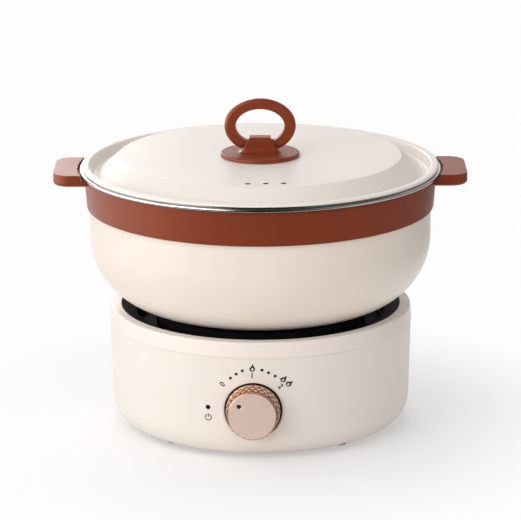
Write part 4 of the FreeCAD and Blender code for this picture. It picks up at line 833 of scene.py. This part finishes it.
def makeScale():
    # places are across and up from the knob's axis, with a tilt in degrees where a mark has one
    scale = {"ink": 0.03, "dotRadius": 1.25,
             "dots": [(-18.5, 27.4), (-13.8, 31.1), (-8.7, 34.1), (7.3, 34.9), (12.6, 32.6), (17.9, 29.6)],
             "digits": [("0", -25.2, 21.6, 50), ("1", -0.8, 30.1, 0), ("2", 22.3, 20.6, -48)],
             "digitHeight": 4.4, "digitStroke": 0.14, "digitShare": 0.7,  # a digit's height in its font size
             "flames": [(-0.7, 33.6, 0), (23.0, 24.6, -40), (27.2, 21.0, -52)],
             "mains": (-37.8, -7.9), "mainsOuter": 2.9, "mainsInner": 2.1, "mainsFrom": 125, "mainsTo": 415,
             "mainsStep": 29, "barHalf": 0.4, "barFrom": 0.2, "barTo": 3.3}
    flame = [[(0.5, 6.8, "tip"), (1.1, 4.9), (2.3, 2.7), (1.6, 0.6), (0.0, 0.0), (-1.7, 0.6), (-2.2, 2.5),
              (-0.7, 4.4)],
             [(0.3, 3.4, "tip"), (1.0, 1.9), (0.1, 0.8), (-0.8, 1.8)]]
    dot = arcPoints(scale["dotRadius"], range(0, 360, 45))
    for index, place in enumerate(scale["dots"], 1):
        name = "scaleDot%d" % index
        printOnShell(name, flatPrint(name, [dot], scale["ink"]), *place)
    for text, *place in scale["digits"]:
        name = "scaleNumber" + text
        printOnShell(name, digitPrint(name, text, scale), *place)
    for index, place in enumerate(scale["flames"], 1):
        name = "heatMark%d" % index
        printOnShell(name, flatPrint(name, flame, scale["ink"]), *place)
    # a ring open at the top, with a bar in the gap
    turns = list(range(scale["mainsFrom"], scale["mainsTo"] + 1, scale["mainsStep"]))
    ring = arcPoints(scale["mainsOuter"], turns) + arcPoints(scale["mainsInner"], turns[::-1])
    half, low, high = scale["barHalf"], scale["barFrom"], scale["barTo"]
    bar = [(-half, low, "tip"), (half, low, "tip"), (half, high, "tip"), (-half, high, "tip")]
    printOnShell("mainsMark", flatPrint("mainsMark", [ring, bar], scale["ink"]), *scale["mains"])


makePot()
makeLid()
makeSaddleBlend()
makeSeamLip()
print("pot, lid, saddle foot and seam made")
makeHotPlate()
makeKnob()
makeKnobDimpleShade()
makeScrews()
print("hot plate, knob and screws made")
makeScale()
print("scale printed")


# stage, light and camera
smooth = {"interpolation_type": "SMOOTHSTEP"}


def makeStage():
    # the floor takes the shadow near the pot and turns to the plain white of the backdrop further out;
    # reflections also see a dark card that lies on the floor in front, and a dimmer right side
    stage = {"halfWidth": 6.0, "floor": "F7F6F5", "roughness": 0.9, "backdrop": "FDFDFD",
             "shadowOut": 0.12, "whiteOut": 0.34, "lift": 0.4, "cardFrom": -0.13, "cardTo": -0.25,
             "cardHalf": 0.42, "cardFade": 0.25, "card": "202020", "rightFrom": 0.25, "rightTo": 0.55,
             "rightShare": 0.75}  # metres, unlike the pieces
    bm = bmesh.new()
    bmesh.ops.create_grid(bm, x_segments=1, y_segments=1, size=stage["halfWidth"])
    mesh = bpy.data.meshes.new("floor")
    bm.to_mesh(mesh)
    bm.free()
    floor = addObject("floor", mesh)
    material = bpy.data.materials.new("paleFloor")
    material.use_nodes = True
    tree = material.node_tree
    shader = tree.nodes["Principled BSDF"]
    shader.inputs["Base Color"].default_value = linear(stage["floor"])
    shader.inputs["Roughness"].default_value = stage["roughness"]
    paths = addNode(tree, "ShaderNodeLightPath").outputs
    place = addNode(tree, "ShaderNodeTexCoord").outputs["Object"]
    away = addNode(tree, "ShaderNodeVectorMath", {"operation": "LENGTH"}, Vector_0=place)
    far = addNode(tree, "ShaderNodeMapRange", smooth, Value=away.outputs[1],
                  From_Min=stage["shadowOut"], From_Max=stage["whiteOut"], To_Min=stage["lift"])
    seen = addNode(tree, "ShaderNodeMath", {"operation": "MAXIMUM"}, Value_0=paths["Is Camera Ray"],
                   Value_1=paths["Is Glossy Ray"])
    white = addNode(tree, "ShaderNodeMath", {"operation": "MULTIPLY"}, Value_0=seen, Value_1=far)
    split = addNode(tree, "ShaderNodeSeparateXYZ", Vector=place)
    ahead = addNode(tree, "ShaderNodeMapRange", smooth, Value=split.outputs["Y"],
                    From_Min=stage["cardFrom"], From_Max=stage["cardTo"])
    side = addNode(tree, "ShaderNodeMath", {"operation": "ABSOLUTE"}, Value_0=split.outputs["X"])
    across = addNode(tree, "ShaderNodeMapRange", smooth, Value=side,
                     From_Min=stage["cardHalf"] + stage["cardFade"], From_Max=stage["cardHalf"])
    onCard = addNode(tree, "ShaderNodeMath", {"operation": "MULTIPLY"}, Value_0=ahead, Value_1=across)
    right = addNode(tree, "ShaderNodeMapRange", smooth, Value=split.outputs["X"],
                    From_Min=stage["rightFrom"], From_Max=stage["rightTo"], To_Max=stage["rightShare"])
    cards = addNode(tree, "ShaderNodeMath", {"operation": "MAXIMUM"}, Value_0=onCard, Value_1=right)
    card = addNode(tree, "ShaderNodeMath", {"operation": "MULTIPLY"}, Value_0=cards,
                   Value_1=paths["Is Glossy Ray"])
    glow = addNode(tree, "ShaderNodeEmission", Color=linear(stage["backdrop"]))
    dark = addNode(tree, "ShaderNodeEmission", Color=linear(stage["card"]))
    faded = addNode(tree, "ShaderNodeMixShader", Fac=white, Shader_1=shader, Shader_2=glow)
    whole = addNode(tree, "ShaderNodeMixShader", Fac=card, Shader_1=faded, Shader_2=dark)
    tree.links.new(whole.outputs["Shader"], tree.nodes["Material Output"].inputs["Surface"])
    mesh.materials.append(material)


def makeLights():
    lights = {  # name: place, aimed at, width and height in metres, watts
        "leftFrontLow": ((-1.4, -1.6, 0.7), (0, 0, 0.15), 1.7, 1.0, 16.0),
        "leftFrontHigh": ((-1.3, -1.2, 1.9), (0, 0, 0.15), 1.4, 1.4, 11.4),
        "leftHigh": ((-1.7, 0.2, 1.5), (0, 0, 0.15), 1.4, 1.4, 7.0),
        "frontHigh": ((0.0, -1.6, 1.8), (0, 0, 0.15), 0.9, 0.9, 6.6),
        "rightFrontLow": ((1.5, -1.6, 0.7), (0, 0, 0.15), 1.4, 1.0, 7.0),
        "overhead": ((0.0, 0.2, 2.2), (0, 0, 0.2), 1.4, 1.4, 6.2),
        "rearHigh": ((0.0, 1.6, 1.6), (0, 0, 0.2), 1.2, 1.2, 8.5),
        "rearLeftLow": ((-0.72, 1.9, 0.85), (0, 0, 0.22), 1.05, 0.7, 7.2),
        "leftGlow": ((-1.2, -0.1, 0.32), (0, -0.05, 0.2), 1.6, 0.6, 10.0),
    }
    studio = {"fillLight": 0.27, "backdrop": "FDFDFD", "dark": "1C1C1C", "frontFrom": -0.45,
              "frontTo": -0.85, "aboveFrom": 0.42, "aboveTo": 0.75, "rightFrom": -0.05, "rightTo": 0.6,
              "rightShare": 0.65}
    unmirrored = ("rearHigh", "frontHigh", "overhead", "rightFrontLow")  # no streaks in the polished rims
    mirrorOnly = ("leftGlow",)  # a reflector that only glossy surfaces show
    for name, (place, target, width, height, watts) in lights.items():
        data = bpy.data.lights.new(name, "AREA")
        data.shape = "RECTANGLE"
        data.size = width
        data.size_y = height
        data.energy = watts
        lamp = addObject(name, data)
        lamp.location = place
        lamp.rotation_euler = (Vector(target) - Vector(place)).to_track_quat("-Z", "Y").to_euler()
        lamp.visible_glossy = name not in unmirrored
        lamp.visible_diffuse = name not in mirrorOnly
    world = bpy.data.worlds.new("studio")
    bpy.context.scene.world = world
    world.use_nodes = True
    tree = world.node_tree
    paths = addNode(tree, "ShaderNodeLightPath").outputs
    direction = addNode(tree, "ShaderNodeTexCoord").outputs["Generated"]
    split = addNode(tree, "ShaderNodeSeparateXYZ", Vector=direction)
    front = addNode(tree, "ShaderNodeMapRange", smooth, Value=split.outputs["Y"],
                    From_Min=studio["frontFrom"], From_Max=studio["frontTo"])
    above = addNode(tree, "ShaderNodeMapRange", smooth, Value=split.outputs["Z"],
                    From_Min=studio["aboveFrom"], From_Max=studio["aboveTo"])
    right = addNode(tree, "ShaderNodeMapRange", smooth, Value=split.outputs["X"],
                    From_Min=studio["rightFrom"], From_Max=studio["rightTo"],
                    To_Max=studio["rightShare"])
    darker = addNode(tree, "ShaderNodeMath", {"operation": "MAXIMUM"}, Value_0=front, Value_1=above)
    unlit = addNode(tree, "ShaderNodeMath", {"operation": "MAXIMUM"}, Value_0=darker, Value_1=right)
    plain = addNode(tree, "ShaderNodeBackground", Color=linear("FFFFFF"), Strength=studio["fillLight"])
    backdrop = addNode(tree, "ShaderNodeBackground", Color=linear(studio["backdrop"]), Strength=1.0)
    dark = addNode(tree, "ShaderNodeBackground", Color=linear(studio["dark"]), Strength=1.0)
    # reflections see the white backdrop, the dark room in front and above, and a dimmer right side
    mirrored = addNode(tree, "ShaderNodeMixShader", Fac=unlit, Shader_1=backdrop, Shader_2=dark)
    glossy = addNode(tree, "ShaderNodeMixShader", Fac=paths["Is Glossy Ray"], Shader_1=plain,
                     Shader_2=mirrored)
    direct = addNode(tree, "ShaderNodeMath", {"operation": "MAXIMUM"}, Value_0=paths["Is Camera Ray"],
                     Value_1=paths["Is Transmission Ray"])
    mixed = addNode(tree, "ShaderNodeMixShader", Fac=direct, Shader_1=glossy, Shader_2=backdrop)
    tree.links.new(mixed.outputs["Shader"], tree.nodes["World Output"].inputs["Surface"])


def makeCamera():
    view = {"place": (0.0, -2.6036, 0.842), "aim": (0.0, 0.0, 0.1395), "lens": 219.76, "sensor": 36,
            "roll": -0.191, "nearest": 0.1, "farthest": 50}
    data = bpy.data.cameras.new("camera")
    data.lens = view["lens"]
    data.sensor_width = view["sensor"]
    data.clip_start = view["nearest"]
    data.clip_end = view["farthest"]
    camera = addObject("camera", data)
    camera.location = view["place"]
    towards = (Vector(view["aim"]) - Vector(view["place"])).to_track_quat("-Z", "Y").to_matrix()
    camera.rotation_euler = (towards @ Matrix.Rotation(math.radians(view["roll"]), 3, "Z")).to_euler()
    bpy.context.scene.camera = camera


makeStage()
makeLights()
makeCamera()
bpy.context.scene.view_settings.view_transform = "Standard"
print("stage, lights and camera set")
